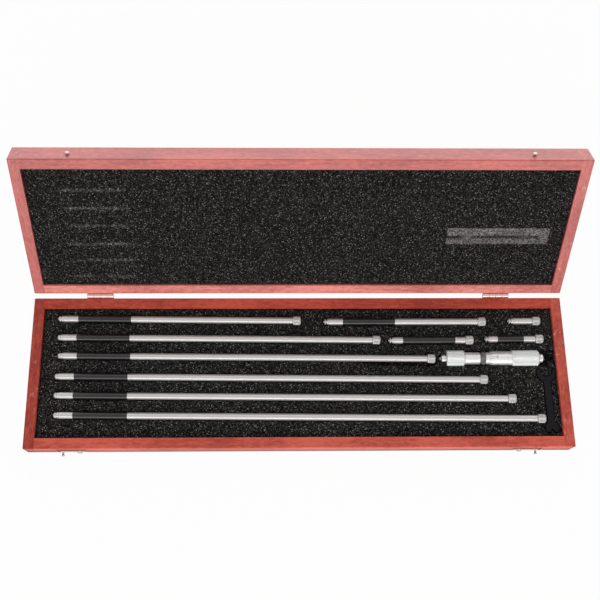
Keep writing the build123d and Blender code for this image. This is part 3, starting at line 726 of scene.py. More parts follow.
class Finishes:
    """Every finish of the set, built once."""

    # BASE and LID are one stain: the lid's paler, less red colours are painted sheen and light on the lid.
    BASE = Stain((0.358, 0.041, 0.028), (0.655, 0.103, 0.066), 0.14, 0.34)
    LID = Stain((0.350, 0.050, 0.040), (0.640, 0.138, 0.114), 0.40, 1.0)
    BOARDS = {
        "base_left_rail": BoardLook((0.80, 0.86, 0.88), scratched=0.25),
        "base_right_rail": BoardLook((1.04, 1.32, 1.42), scratched=0.55),
        "base_back_rail": BoardLook((1.08, 1.10, 1.06)),
        # The front rail's paler, less red tone is partly its own wood and partly painted sheen.
        "base_front_rail": BoardLook((1.08, 1.32, 1.40)),
        "lid_front_rail": BoardLook((1.00, 0.82, 0.79), varnish=0.54),
        # The lid's back rail is much paler and greyer as painted light and sheen falling on it.
        "lid_back_rail": BoardLook((1.34, 1.95, 1.95), scratched=0.2),
        "lid_right_rail": BoardLook(scratched=0.55),
    }
    BOARD_OFFSET = 0.37

    def __init__(self) -> None:
        """Builds the finishes that more than one piece takes."""
        self.steel = TurnedMetal("Satin_ground_steel", (0.53, 0.51, 0.50), 0.31, 0.42, True).build()
        self.contact = TurnedMetal("Lapped_contact_steel", (0.66, 0.65, 0.64), 0.30, 0.6).build()
        self.collar = TurnedMetal("Knurled_satin_steel", (0.46, 0.452, 0.44), 0.34, 0.8).build()
        self.knurl = TurnedMetal("Knurled_satin_chrome", (0.72, 0.735, 0.725), 0.44, 0.5).build()
        self.chrome = TurnedMetal("Satin_chrome", (0.72, 0.715, 0.71), 0.42, 0.55).build()
        self.blued = TurnedMetal("Blued_knurled_steel", (0.155, 0.145, 0.150), 0.42, 1.0).build()
        self.grip = GripPlastic("Black_insulating_sleeve").build()
        self.enamel = Enamel("Black_division_filling").build()
        self.wrench = PlainMetal(
            "Black_oxide_steel", (0.0060, 0.0054, 0.0066), 0.55, 0.0, (0.012, 0.011, 0.012), 0.12
        ).build()
        self.nickel = PlainMetal("Nickel_plate", (0.50, 0.475, 0.44), 0.24).build()
        # The hinge's nickel is tinted pink: painted reflection of the red boards around it.
        self.hinge = PlainMetal("Nickel_plated_hinge", (0.62, 0.46, 0.42), 0.30).build()
        self.foam = Flecked(
            "Black_flecked_foam", dark=(0.0060, 0.0056, 0.0054), fleck=(0.74, 0.715, 0.70)
        ).build()

    def board(self, node: str, number: int) -> Material:
        """Wood of one board, cut from another part of the plank than the others; the tones of some boards
        also carry painted light.

        Args:
            node: Name of the board's node.
            number: Place of the board in the list of boards.

        Returns:
            The board's own material.
        """
        lid = node.startswith("lid_")
        stain = self.LID if lid else self.BASE
        look = self.BOARDS.get(node, BoardLook())
        return StainedWood(
            name=f"Stained_wood_{node}",
            dark=tuple(part * share for part, share in zip(stain.dark, look.tone)),
            light=tuple(part * share for part, share in zip(stain.light, look.tone)),
            grain=Grain.ACROSS_CASE if node.endswith(("left_rail", "right_rail")) else Grain.ALONG_CASE,
            turn=open_angle() if lid else 0.0,
            offset=self.BOARD_OFFSET * number,
            varnish=look.varnish if lid else 0.0,
            gloss=stain.gloss,
            scratched=look.scratched,
            foot_shade=stain.foot_shade,
        ).build()


# Meshes

def link(thing: bpy.types.Object) -> None:
    """Puts an object in the scene."""
    bpy.context.scene.collection.objects.link(thing)


def new_piece(
    name: str, mesh: Mesh, material: Material, body: Body, slot: Slot, *stands_for: str
) -> bpy.types.Object:
    """Puts a mesh in the scene as a piece of the object.

    Args:
        name: Name of the piece.
        mesh: Its mesh, in the frame of the row.
        material: Its finish.
        body: Body that it rides on.
        slot: Its material slot in the record; not used.
        *stands_for: CAD nodes that it replaces.

    Returns:
        The piece.
    """
    mesh.materials.clear()
    mesh.materials.append(material)
    piece = bpy.data.objects.new(name, mesh)
    link(piece)
    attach(piece, body.value)
    if stands_for:
        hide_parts(*stands_for)
    LOG.info("%s: %d faces on %s", name, len(mesh.polygons), body.value)
    return piece


def fill_mesh(name: str, points: np.ndarray, faces: Faces) -> Mesh:
    """Makes a mesh from points and faces.

    Args:
        name: Name of the mesh.
        points: Its points, one to a row.
        faces: The numbers of each face's points.

    Returns:
        The new mesh.
    """
    mesh = bpy.data.meshes.new(name)
    mesh.from_pydata(np.asarray(points, float).tolist(), [], faces)
    mesh.update()
    return mesh


@dataclass(frozen=True)
class Knurl:
    """Diamond knurl: half the width of a diamond and the depth of its grooves."""

    half_pitch: float = 0.34 * MM
    depth: float = 0.14 * MM

    def segments(self, radius: float) -> int:
        """Even number of steps round a radius."""
        return 2 * round(math.pi * radius / self.half_pitch)


@dataclass(frozen=True)
class Corner:
    """Corner of a turned outline: place along the axis, radius, easing, and whether a knurl follows."""

    along: float
    radius: float
    ease: float = 0.0
    knurled: bool = False


class RingKind(IntEnum):
    """Kind of a ring of points; the two kinds of rows of a knurl take turns."""

    PLAIN = 0
    KNURL_END = 1
    EVEN_ROW = 2
    ODD_ROW = 3


Ring = tuple[float, float, RingKind]


@dataclass(frozen=True)
class Turning:
    """Piece turned on a lathe about its own X axis."""

    corners: tuple[Corner, ...]
    ring: bool = False
    knurl: Knurl = Knurl()
    smooth_segments: int = 72
    ease_limit: float = 0.45
    ease_shares: tuple[float, ...] = (0.0, 0.33, 0.67, 1.0)

    @property
    def segments(self) -> int:
        """Steps round the axis, which suit the knurl where there is one."""
        knurled = [corner.radius for corner in self.corners if corner.knurled]
        return self.knurl.segments(max(knurled)) if knurled else self.smooth_segments

    def eased(self) -> list[Ring]:
        """Eases the corners of the outline.

        Returns:
            Place, radius and kind of each ring.
        """
        rings: list[Ring] = []
        count = len(self.corners)
        for index, corner in enumerate(self.corners):
            here = Vector((corner.along, corner.radius))
            before = self.corners[index - 1] if index or self.ring else None
            after = self.corners[(index + 1) % count] if index < count - 1 or self.ring else None
            if corner.ease and before and after:
                rings.extend(self.rounded(here, before, after, corner.ease))
            else:
                rings.append((corner.along, corner.radius, RingKind.PLAIN))
            if corner.knurled and after:
                rings.extend(self.knurl_rows(corner, after))
        return rings

    def rounded(self, here: Vector, before: Corner, after: Corner, ease: float) -> list[Ring]:
        """Puts a small curve in place of a corner.

        Args:
            here: Place and radius of the corner.
            before: Corner before it.
            after: Corner after it.
            ease: How far the curve reaches along either side.

        Returns:
            Rings of the curve.
        """
        back = Vector((before.along, before.radius)) - here
        on = Vector((after.along, after.radius)) - here
        reach = min(ease, self.ease_limit * back.length, self.ease_limit * on.length)
        first = here + back.normalized() * reach
        last = here + on.normalized() * reach
        curve = []
        for share in self.ease_shares:
            point = first * (1 - share) ** 2 + here * 2 * share * (1 - share) + last * share**2
            curve.append((point.x, point.y, RingKind.PLAIN))
        return curve

    def knurl_rows(self, start: Corner, end: Corner) -> list[Ring]:
        """Lays the rows of a knurl between two corners, low at both ends.

        Args:
            start: Corner where the knurl begins.
            end: Corner where it stops.

        Returns:
            Rings of the knurl.
        """
        length = abs(end.along - start.along) - start.ease - end.ease
        rows = max(2, round(length / self.knurl.half_pitch))
        first = start.along + math.copysign(start.ease, end.along - start.along)
        step = math.copysign(length / rows, end.along - start.along)
        made = []
        for row in range(rows + 1):
            share = row / rows
            radius = start.radius * (1 - share) + end.radius * share
            inner = RingKind.ODD_ROW if row % 2 else RingKind.EVEN_ROW
            kind = RingKind.KNURL_END if row in (0, rows) else inner
            made.append((first + step * row, radius, kind))
        return made

    def mesh(self, name: str, place: Matrix) -> Mesh:
        """Makes the turned mesh.

        Args:
            name: Name of the mesh.
            place: Where its own axis lies in the frame.

        Returns:
            Closed mesh, smooth except on its knurl and its sharp corners.
        """
        rings = self.eased()
        steps = self.segments
        angles = np.arange(steps) * (2 * math.pi / steps)
        points: list[Point] = []
        rows: list[list[int]] = []
        for along, radius, kind in rings:
            start = len(points)
            if radius < TOUCHING:
                points.append((along, 0.0, 0.0))
                rows.append([start] * steps)
                continue
            radii = np.full(steps, radius)
            if kind is RingKind.KNURL_END:
                radii -= self.knurl.depth
            elif kind is not RingKind.PLAIN:
                radii -= self.knurl.depth * ((np.arange(steps) + kind) % 2 == 0)
            for angle, reach in zip(angles, radii):
                points.append((along, reach * math.cos(angle), reach * math.sin(angle)))
            rows.append(list(range(start, start + steps)))
        faces, flat = self.faces(rings, rows, steps)
        mesh = fill_mesh(name, points, faces)
        mesh.polygons.foreach_set("use_smooth", [not sharp for sharp in flat])
        mesh.set_sharp_from_angle(angle=SHARP_METAL)
        mesh.transform(place)
        return mesh

    def faces(self, rings: list[Ring], rows: list[list[int]], steps: int) -> tuple[Faces, list[bool]]:
        """Joins the rings, each facet of a knurl in two triangles.

        Args:
            rings: The rings.
            rows: Numbers of the points of each ring.
            steps: Steps round the axis.

        Returns:
            The faces, and whether each is a facet of a knurl.
        """
        faces: Faces = []
        flat: list[bool] = []
        pairs = list(range(len(rows) - 1)) + ([-1] if self.ring else [])
        for row in pairs:
            following = (row + 1) % len(rows)
            near, far = rows[row], rows[following]
            kind, next_kind = rings[row][2], rings[following][2]
            knurled = kind is not RingKind.PLAIN and next_kind is not RingKind.PLAIN
            parity = kind if kind > RingKind.KNURL_END else next_kind + 1
            for step in range(steps):
                after = (step + 1) % steps
                one, two, three, four = near[step], near[after], far[after], far[step]
                if not knurled:
                    made = [tuple(dict.fromkeys((one, two, three, four)))]
                elif (step + parity) % 2 == 0:
                    made = [(one, two, three), (one, three, four)]
                else:
                    made = [(one, two, four), (two, three, four)]
                kept = [face for face in made if len(face) > 2]
                faces.extend(kept)
                flat.extend([knurled] * len(kept))
        return faces, flat

    def piece(
        self, name: str, place: Matrix, material: Material, body: Body, slot: Slot, *stands_for: str
    ) -> None:
        """Puts the turned piece in the scene, with its axis at a place."""
        new_piece(name, self.mesh(name, place), material, body, slot, *stands_for)


def softened_copy(node: str, width: float, segments: int = 2) -> Mesh:
    """Copy of a CAD node's mesh with its sharp edges rounded.

    Args:
        node: Name of the node.
        width: Width of the rounding.
        segments: Steps across it.

    Returns:
        The new mesh.
    """
    mesh = frame["nodes"][node].data.copy()
    mesh.name = f"{node}_softened"
    work = bmesh.new()
    work.from_mesh(mesh)
    bmesh.ops.remove_doubles(work, verts=work.verts, dist=SAME_PLACE)
    bmesh.ops.dissolve_limit(work, angle_limit=FLAT_ANGLE, verts=work.verts, edges=work.edges)
    sharp = [
        edge for edge in work.edges
        if len(edge.link_faces) == 2 and edge.calc_face_angle() > BEVELLED_ANGLE
    ]
    bmesh.ops.bevel(
        work, geom=sharp, offset=width, segments=segments, affect="EDGES", profile=0.5, clamp_overlap=True
    )
    work.to_mesh(mesh)
    work.free()
    if "custom_normal" in mesh.attributes:
        mesh.attributes.remove(mesh.attributes["custom_normal"])
    mesh.shade_smooth()
    mesh.set_sharp_from_angle(angle=SHARP_METAL)
    return mesh


# Foam

def resampled(loop: np.ndarray, step: float) -> np.ndarray:
    """Divides the long runs of a closed outline.

    Args:
        loop: The outline's points, one to a row.
        step: Longest run that is left.

    Returns:
        The outline with more points.
    """
    made = []
    for first, last in zip(loop, np.roll(loop, -1, axis=0)):
        count = max(1, math.ceil(np.linalg.norm(last - first) / step))
        made.extend(first + (last - first) * share / count for share in range(count))
    return np.array(made)


def loop_area(loop: np.ndarray) -> float:
    """Area inside a closed outline, negative where it runs clockwise."""
    after = np.roll(loop, -1, axis=0)
    return 0.5 * np.sum(loop[:, 0] * after[:, 1] - after[:, 0] * loop[:, 1])


def rectangle(low: tuple[float, float], high: tuple[float, float], step: float) -> np.ndarray:
    """Goes round a rectangle, beginning at its low corner.

    Args:
        low: Its low corner.
        high: Its high corner.
        step: Longest distance between the points.

    Returns:
        Its points.
    """
    (left, front), (right, rear) = low, high
    columns = max(2, math.ceil((right - left) / step))
    rows = max(2, math.ceil((rear - front) / step))
    x = np.concatenate([
        np.linspace(left, right, columns, endpoint=False), np.full(rows, right),
        np.linspace(right, left, columns, endpoint=False), np.full(rows, left),
    ])
    y = np.concatenate([
        np.full(columns, front), np.linspace(front, rear, rows, endpoint=False),
        np.full(columns, rear), np.linspace(rear, front, rows, endpoint=False),
    ])
    return np.stack([x, y], axis=1)


def lookup_of(points: np.ndarray | list[Vector]) -> kdtree.KDTree:
    """Prepares a search for the nearest of some points of the plane.

    Args:
        points: The points.

    Returns:
        Balanced tree of the points.
    """
    tree = kdtree.KDTree(len(points))
    for index, point in enumerate(points):
        tree.insert((point[0], point[1], 0.0), index)
    tree.balance()
    return tree


@dataclass(frozen=True)
class Stretch:
    """Stretch of a cut-out along its axis, from start to end, with its radius."""

    start: float
    end: float
    radius: float


@dataclass(frozen=True)
class Trough:
    """Round-bottomed cut-out for a turned piece: its axis and the stretches along it."""

    origin: tuple[float, float]
    heading: float
    axis_height: float
    stretches: tuple[Stretch, ...]
    floor_lines: tuple[float, ...] = (-0.85, -0.55, 0.0, 0.55, 0.85)
    floor_step: float = 3.0

    def local(self, points: np.ndarray) -> tuple[np.ndarray, np.ndarray]:
        """Turns points of the plane to the cut-out's own axes.

        Args:
            points: Points of the plane.

        Returns:
            Places along and across the axis.
        """
        moved = points - np.array(self.origin)
        cos, sin = math.cos(self.heading), math.sin(self.heading)
        return moved[:, 0] * cos + moved[:, 1] * sin, -moved[:, 0] * sin + moved[:, 1] * cos

    def depth(self, points: np.ndarray, slab: "FoamSlab") -> np.ndarray:
        """Finds how deep the cut-out is.

        Args:
            points: Points of the plane.
            slab: The foam.

        Returns:
            Depth below the foam's face at each point.
        """
        along, across = self.local(points)
        deepest = np.zeros(len(points))
        for part in self.stretches:
            inside = np.minimum(
                np.minimum(along - part.start, part.end - along), part.radius - np.abs(across)
            )
            round_part = np.sqrt(np.maximum(part.radius**2 - np.minimum(across**2, part.radius**2), 0.0))
            floor = slab.face - self.axis_height + round_part
            deepest = np.maximum(deepest, slab.walled(inside, floor))
        return deepest

    def guides(self, slab: "FoamSlab") -> list[tuple[np.ndarray, bool]]:
        """Draws the lines that the foam's mesh follows.

        Args:
            slab: The foam.

        Returns:
            Edges of the cut-out and lines along its floor, each with whether it is closed.
        """
        lines = []
        for part in self.stretches:
            for offset in slab.edge_offsets:
                lines.append((self.outline(part, offset, slab.step), True))
            for share in self.floor_lines:
                count = max(2, math.ceil((part.end - part.start) / (self.floor_step * slab.step)))
                along = np.linspace(part.start + slab.wall, part.end - slab.wall, count)
                lines.append((self.world(along, np.full(count, share * part.radius)), False))
        return lines

    def outline(self, part: Stretch, offset: float, step: float) -> np.ndarray:
        """Draws a rectangle round a stretch.

        Args:
            part: The stretch.
            offset: How far the rectangle is moved outwards.
            step: Longest distance between its points.

        Returns:
            Its points in the plane.
        """
        half = part.radius + offset
        points = rectangle((part.start - offset, -half), (part.end + offset, half), step)
        return self.world(points[:, 0], points[:, 1])

    def world(self, along: np.ndarray, across: np.ndarray) -> np.ndarray:
        """Turns places along and across the axis back to the plane.

        Args:
            along: Places along the axis.
            across: Places across it.

        Returns:
            Points of the plane.
        """
        cos, sin = math.cos(self.heading), math.sin(self.heading)
        return np.stack(
            [self.origin[0] + along * cos - across * sin, self.origin[1] + along * sin + across * cos],
            axis=1,
        )


@dataclass(frozen=True)
class FlatBed:
    """Flat-bottomed cut-out with a closed outline."""

    outline: tuple[tuple[float, float], ...]
    bed_depth: float
    lips_seen: float = 4.0

    def signed(self, points: np.ndarray) -> np.ndarray:
        """Measures how far points lie inside the outline.

        Args:
            points: Points of the plane.

        Returns:
            Distance of each to the outline, negative outside it.
        """
        loop = np.array(self.outline)
        following = np.roll(loop, -1, axis=0)
        nearest = np.full(len(points), math.inf)
        inside = np.zeros(len(points), bool)
        for (x0, y0), (x1, y1) in zip(loop, following):
            run = np.array([x1 - x0, y1 - y0])
            offset = points - np.array([x0, y0])
            share = np.clip(offset @ run / max(run @ run, TINY), 0.0, 1.0)
            nearest = np.minimum(nearest, np.linalg.norm(offset - share[:, None] * run, axis=1))
            crosses = (y0 > points[:, 1]) != (y1 > points[:, 1])
            at = (x1 - x0) * (points[:, 1] - y0) / ((y1 - y0) or TINY) + x0
            inside ^= crosses & (points[:, 0] < at)
        return np.where(inside, nearest, -nearest)

    def depth(self, points: np.ndarray, slab: "FoamSlab") -> np.ndarray:
        """Finds how deep the cut-out is.

        Args:
            points: Points of the plane.
            slab: The foam.

        Returns:
            Depth below the foam's face at each point.
        """
        low = np.array(self.outline).min(axis=0) - self.lips_seen * slab.lip
        high = np.array(self.outline).max(axis=0) + self.lips_seen * slab.lip
        near = np.all((points > low) & (points < high), axis=1)
        depth = np.zeros(len(points))
        if near.any():
            depth[near] = slab.walled(self.signed(points[near]), np.full(near.sum(), self.bed_depth))
        return depth

    def guides(self, slab: "FoamSlab") -> list[tuple[np.ndarray, bool]]:
        """Draws the lines that the foam's mesh follows.

        Args:
            slab: The foam.

        Returns:
            Edges of the cut-out, each with whether it is closed.
        """
        loop = np.array(self.outline)
        before, after = loop - np.roll(loop, 1, axis=0), np.roll(loop, -1, axis=0) - loop
        tangent = before / np.linalg.norm(before, axis=1)[:, None]
        tangent = tangent + after / np.linalg.norm(after, axis=1)[:, None]
        tangent /= np.linalg.norm(tangent, axis=1)[:, None]
        outward = np.stack([tangent[:, 1], -tangent[:, 0]], axis=1) * math.copysign(1.0, loop_area(loop))
        return [(loop + outward * offset, True) for offset in slab.edge_offsets]


@dataclass(frozen=True)
class FoamSlab:
    """Slab of foam between two heights, with cut-outs in its face and a pitted skin."""

    low: tuple[float, float]
    high: tuple[float, float]
    face: float
    back: float
    cuts: tuple
    step: float = 1.15 * MM
    grid: float = 1.02 * MM
    lip: float = 1.0 * MM
    lip_drop: float = 0.85 * MM
    wall: float = 0.14 * MM
    pit_depth: float = 0.20 * MM
    pit_size: float = 1.5 * MM
    swell: float = 0.16 * MM
    swell_size: float = 28.0 * MM
    rim_room: float = 1.3 * MM
    rim_drop: float = 0.5 * MM
    unevenness: float = 0.28
    clear_share: float = 0.55
    seed: int = 7

    @property
    def edge_offsets(self) -> tuple[float, ...]:
        """Offsets of the lines that follow each cut-out's edge: its lip, its edge and its wall."""
        return (self.lip, 0.45 * self.lip, 0.0, -self.wall)

    def walled(self, inside: np.ndarray, floor: np.ndarray) -> np.ndarray:
        """Shapes the edge of a cut-out: a rounded lip, a steep wall and the floor.

        Args:
            inside: Distance inside the edge, negative outside it.
            floor: Depth of the floor below the face.

        Returns:
            Depth below the face.
        """
        outside = np.clip(1.0 + inside / self.lip, 0.0, 1.0) ** 2 * self.lip_drop
        down = np.clip(inside / self.wall, 0.0, 1.0)
        return np.where(inside < 0, outside, self.lip_drop + (floor - self.lip_drop) * down)

    def depth(self, points: np.ndarray) -> np.ndarray:
        """Finds how deep all cut-outs are together.

        Args:
            points: Points of the plane.

        Returns:
            Depth below the face at each point.
        """
        deepest = np.zeros(len(points))
        for cut in self.cuts:
            deepest = np.maximum(deepest, cut.depth(points, self))
        return deepest

    def rim(self, points: np.ndarray) -> np.ndarray:
        """How far the face falls away beside the rails."""
        to_edge = np.minimum(points - np.array(self.low), np.array(self.high) - points).min(axis=1)
        return np.clip(1.0 - to_edge / self.rim_room, 0.0, 1.0) ** 2 * self.rim_drop

    def pits(self, points: np.ndarray, depth: np.ndarray) -> np.ndarray:
        """Pits the skin, more on the open face than in a cut-out.

        Args:
            points: Points of the plane.
            depth: Depth of the cut-outs at each point.

        Returns:
            Depth of the pits and of the slow swell, always below the face.
        """
        made = np.empty(len(points))
        for index, (x, y) in enumerate(points):
            fine = noise.noise(Vector((x, y, self.face)) / self.pit_size)
            slow = noise.noise(Vector((x, y, self.back)) / self.swell_size)
            made[index] = self.pit_depth * (0.5 + fine) + self.swell * (0.5 + 0.5 * slow)
        return np.maximum(made, 0.0) * np.clip(1.0 - depth / self.lip_drop, 0.25, 1.0)

    def mesh(self, name: str) -> Mesh:
        """Makes the slab.

        Args:
            name: Name of the mesh.

        Returns:
            Closed mesh with a fine face, plain sides and a plain back.
        """
        points: list[Vector] = []
        edges: list[tuple[int, int]] = []
        border = rectangle(self.low, self.high, self.step)
        for line, closed in [(border, True)] + [guide for cut in self.cuts for guide in cut.guides(self)]:
            inside = np.clip(line, np.array(self.low), np.array(self.high))
            start = len(points)
            points.extend(Vector(point) for point in inside)
            last = len(inside) if closed else len(inside) - 1
            edges.extend((start + at, start + (at + 1) % len(inside)) for at in range(last))
        points.extend(self.scattered(points))
        flat, _, triangles, *_ = geometry.delaunay_2d_cdt(points, edges, [], 0, TOUCHING)
        plane = np.array([tuple(point) for point in flat])
        depth = self.depth(plane)
        total = depth + self.rim(plane) + self.pits(plane, depth)
        away = math.copysign(1.0, self.back - self.face)
        top = np.column_stack([plane, self.face + away * total])
        faces = [tuple(corner) if away < 0 else tuple(reversed(corner)) for corner in triangles]
        return self.closed_with_back(name, top, faces, border)

    def scattered(self, taken: list[Vector]) -> list[Vector]:
        """Spreads points over the open face, a little uneven.

        Args:
            taken: Points that are there already.

        Returns:
            Points clear of the cut-outs and of those that are there.
        """
        generator = np.random.default_rng(self.seed)
        x = np.arange(self.low[0] + self.grid, self.high[0] - 0.6 * self.grid, self.grid)
        y = np.arange(self.low[1] + self.grid, self.high[1] - 0.6 * self.grid, self.grid)
        mesh_x, mesh_y = np.meshgrid(x, y)
        mesh_x[1::2] += self.grid / 2
        points = np.column_stack([mesh_x.ravel(), mesh_y.ravel()])
        points += generator.uniform(-self.unevenness, self.unevenness, points.shape) * self.grid
        points = points[points[:, 0] < self.high[0] - 0.3 * self.grid]
        points = points[self.depth(points) <= 0.0]
        near = lookup_of(taken)
        clear = self.clear_share * self.grid
        return [Vector(point) for point in points if near.find((point[0], point[1], 0.0))[2] > clear]

    def closed_with_back(
        self, name: str, top: np.ndarray, faces: Faces, border: np.ndarray
    ) -> Mesh:
        """Adds the plain sides and the back to the face.

        Args:
            name: Name of the mesh.
            top: Points of the face.
            faces: Triangles of the face.
            border: Points round the slab's edge.

        Returns:
            The closed slab.
        """
        lookup = lookup_of(top)
        loop = [lookup.find((x, y, 0.0))[1] for x, y in border]
        count = len(loop)
        start = len(top)
        bottom = np.column_stack([border, np.full(count, self.back)])
        sides = []
        for at in range(count):
            after = (at + 1) % count
            quad = (loop[at], start + at, start + after, loop[after])
            sides.append(quad if self.back < self.face else tuple(reversed(quad)))
        cap = tuple(range(start, start + count))
        sides.append(tuple(reversed(cap)) if self.back < self.face else cap)
        mesh = fill_mesh(name, np.vstack([top, bottom]), faces + sides)
        mesh.shade_smooth()
        mesh.set_sharp_from_angle(angle=SHARP_FOAM)
        return mesh


# The set

@dataclass
class ExtensionRod:
    """Extension rod: steel tube with its contact end, insulating grip and knurled socket collar."""

    inches: int
    finishes: Finishes
    tube_radius: float = 3.175 * MM
    neck_radius: float = 2.8 * MM
    grip_wall: float = 0.45 * MM
    grip_edge: float = 0.25 * MM
    over_nominal: float = 6.2 * MM
    collar_length: float = 7.94 * MM
    collar_radius: float = 4.5 * MM
    collar_edge: float = 0.7 * MM
    collar_start: float = 0.45 * MM
    collar_knurl: Knurl = Knurl(0.52 * MM, 0.22 * MM)
    socket_radius: float = 2.5 * MM
    socket_depth: float = 4.6 * MM
    seat_room: float = 0.05 * MM
    end_room: float = 0.5 * MM
    step_room: float = 0.3 * MM
    notch_length: float = 70.0 * MM
    notch_width: float = 3.6 * MM
    notch_depth: float = 4.0 * MM
    notch_overlap: float = 1.0 * MM
    outline_step: float = 1.15 * MM

    def __post_init__(self) -> None:
        """Finds the rod's axis from its nodes in the frame."""
        self.name = f"rod_{self.inches:02d}_in"
        self.length = self.inches * INCH + self.over_nominal
        self.collar_at = self.length - self.collar_length
        tube_low, tube_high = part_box(f"{self.name}_tube")
        collar_low, collar_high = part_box(f"{self.name}_collar")
        socket = (collar_low + collar_high) / 2
        run = socket - (tube_low + tube_high) / 2
        self.heading = math.atan2(run.y, run.x)
        along = Vector((math.cos(self.heading), math.sin(self.heading), 0))
        self.start = socket - along * (self.length - self.collar_length / 2)
        self.place = Matrix.Translation(self.start) @ Matrix.Rotation(self.heading, 4, "Z")
        self.has_grip = f"{self.name}_grip" in frame["nodes"]

    def build(self) -> None:
        """Makes the tube, the collar and, where there is one, the grip."""
        self.build_tube()
        self.build_collar()
        if self.has_grip:
            self.build_grip()

    def contact_end(self) -> tuple[Corner, ...]:
        """Shapes the contact end.

        Returns:
            Corners of a small button on the short rods, and of a plain dome on the long ones.
        """
        neck, tube = self.neck_radius, self.tube_radius
        if self.inches < FIRST_LONG_ROD:
            return (
                Corner(0.0, 0.0),
                Corner(0.0, 0.7 * MM, 0.3 * MM),
                Corner(0.8 * MM, 0.85 * MM, 0.1 * MM),
                Corner(0.85 * MM, 2.1 * MM, 0.2 * MM),
                Corner(1.4 * MM, neck, 0.2 * MM),
                Corner(2.1 * MM, neck, 0.1 * MM),
                Corner(2.15 * MM, 1.5 * MM, 0.05 * MM),
                Corner(3.35 * MM, 1.5 * MM, 0.05 * MM),
                Corner(3.4 * MM, neck, 0.05 * MM),
                Corner(5.0 * MM, neck, 0.1 * MM),
                Corner(5.3 * MM, tube, 0.15 * MM),
            )
        return (
            Corner(0.0, 0.0),
            Corner(0.0, 2.0 * MM, 0.4 * MM),
            Corner(1.4 * MM, neck, 0.6 * MM),
            Corner(2.7 * MM, neck, 0.1 * MM),
            Corner(2.8 * MM, 2.3 * MM, 0.05 * MM),
            Corner(3.2 * MM, 2.3 * MM, 0.05 * MM),
            Corner(3.3 * MM, neck + 0.1 * MM, 0.05 * MM),
            Corner(5.0 * MM, neck + 0.1 * MM, 0.1 * MM),
            Corner(5.3 * MM, tube, 0.15 * MM),
        )

    def build_tube(self) -> None:
        """Makes the steel tube whose left end is turned to its contact."""
        end = self.collar_at + self.step_room
        turning = Turning((*self.contact_end(), Corner(end, self.tube_radius), Corner(end, 0.0)))
        steel, node = self.finishes.steel, f"{self.name}_tube"
        turning.piece(f"{self.name}_ground_tube", self.place, steel, Body.BASE, Slot.STEEL, node)

    def build_collar(self) -> None:
        """Makes the knurled collar with the threaded socket for the next rod in its end."""
        start, end = self.collar_at, self.length
        edge, radius, socket = self.collar_edge, self.collar_radius, self.socket_radius
        turning = Turning((
            Corner(start, self.tube_radius - 0.2 * MM),
            Corner(start, radius - self.collar_start, 0.1 * MM),
            Corner(start + self.collar_start, radius, 0.1 * MM, knurled=True),
            Corner(end - edge, radius, 0.1 * MM),
            Corner(end, radius - edge, 0.12 * MM),
            Corner(end, socket + 0.4 * MM, 0.1 * MM),
            Corner(end - 0.4 * MM, socket),
            Corner(end - self.socket_depth, socket),
            Corner(end - self.socket_depth, 0.0),
        ), knurl=self.collar_knurl)
        collar, node = self.finishes.collar, f"{self.name}_collar"
        turning.piece(f"{self.name}_knurled_collar", self.place, collar, Body.BASE, Slot.KNURLED, node)

    def build_grip(self) -> None:
        """Makes the black sleeve pulled over the tube."""
        low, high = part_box(f"{self.name}_grip")
        centre = ((low + high) / 2 - self.start).length
        half = round((high.x - low.x) / INCH) * INCH / 2
        radius = self.tube_radius + self.grip_wall
        turning = Turning((
            Corner(centre - half, self.tube_radius),
            Corner(centre - half, radius, self.grip_edge),
            Corner(centre + half, radius, self.grip_edge),
            Corner(centre + half, self.tube_radius),
        ), ring=True)
        grip, node = self.finishes.grip, f"{self.name}_grip"
        turning.piece(f"{self.name}_black_sleeve", self.place, grip, Body.BASE, Slot.GRIP, node)

    def trough(self) -> Trough:
        """Shapes the cut-out of the foam that the rod lies in.

        Returns:
            Trough for the tube or its grip, and for the collar.
        """
        body = self.tube_radius + (self.grip_wall if self.has_grip else 0.0) + self.seat_room
        collar = self.collar_radius + self.seat_room
        return Trough((self.start.x, self.start.y), self.heading, self.start.z, (
            Stretch(-self.end_room, self.collar_at, body),
            Stretch(self.collar_at - self.step_room, self.length + self.end_room, collar),
        ))

    def notch(self) -> FlatBed:
        """Shapes the finger recess beside the rod's right end.

        Returns:
            Long recess with two round corners.
        """
        left, right = self.length + self.end_room - self.notch_length, self.length + self.end_room
        front = -(self.tube_radius + self.grip_wall) - self.notch_width
        corner = self.notch_width / 2
        quarter = [math.radians(15 * step) for step in range(7)]
        outline = [
            (right - corner + corner * math.sin(turn), front + corner - corner * math.cos(turn))
            for turn in quarter
        ]
        outline += [(right, -self.notch_overlap), (left, -self.notch_overlap)]
        outline += [
            (left + corner - corner * math.cos(turn), front + corner - corner * math.sin(turn))
            for turn in quarter
        ]
        spaced = resampled(np.array(outline), self.outline_step)
        world = [self.place @ Vector((x, y, 0.0)) for x, y in spaced]
        return FlatBed(tuple((point.x, point.y) for point in world), self.notch_depth)


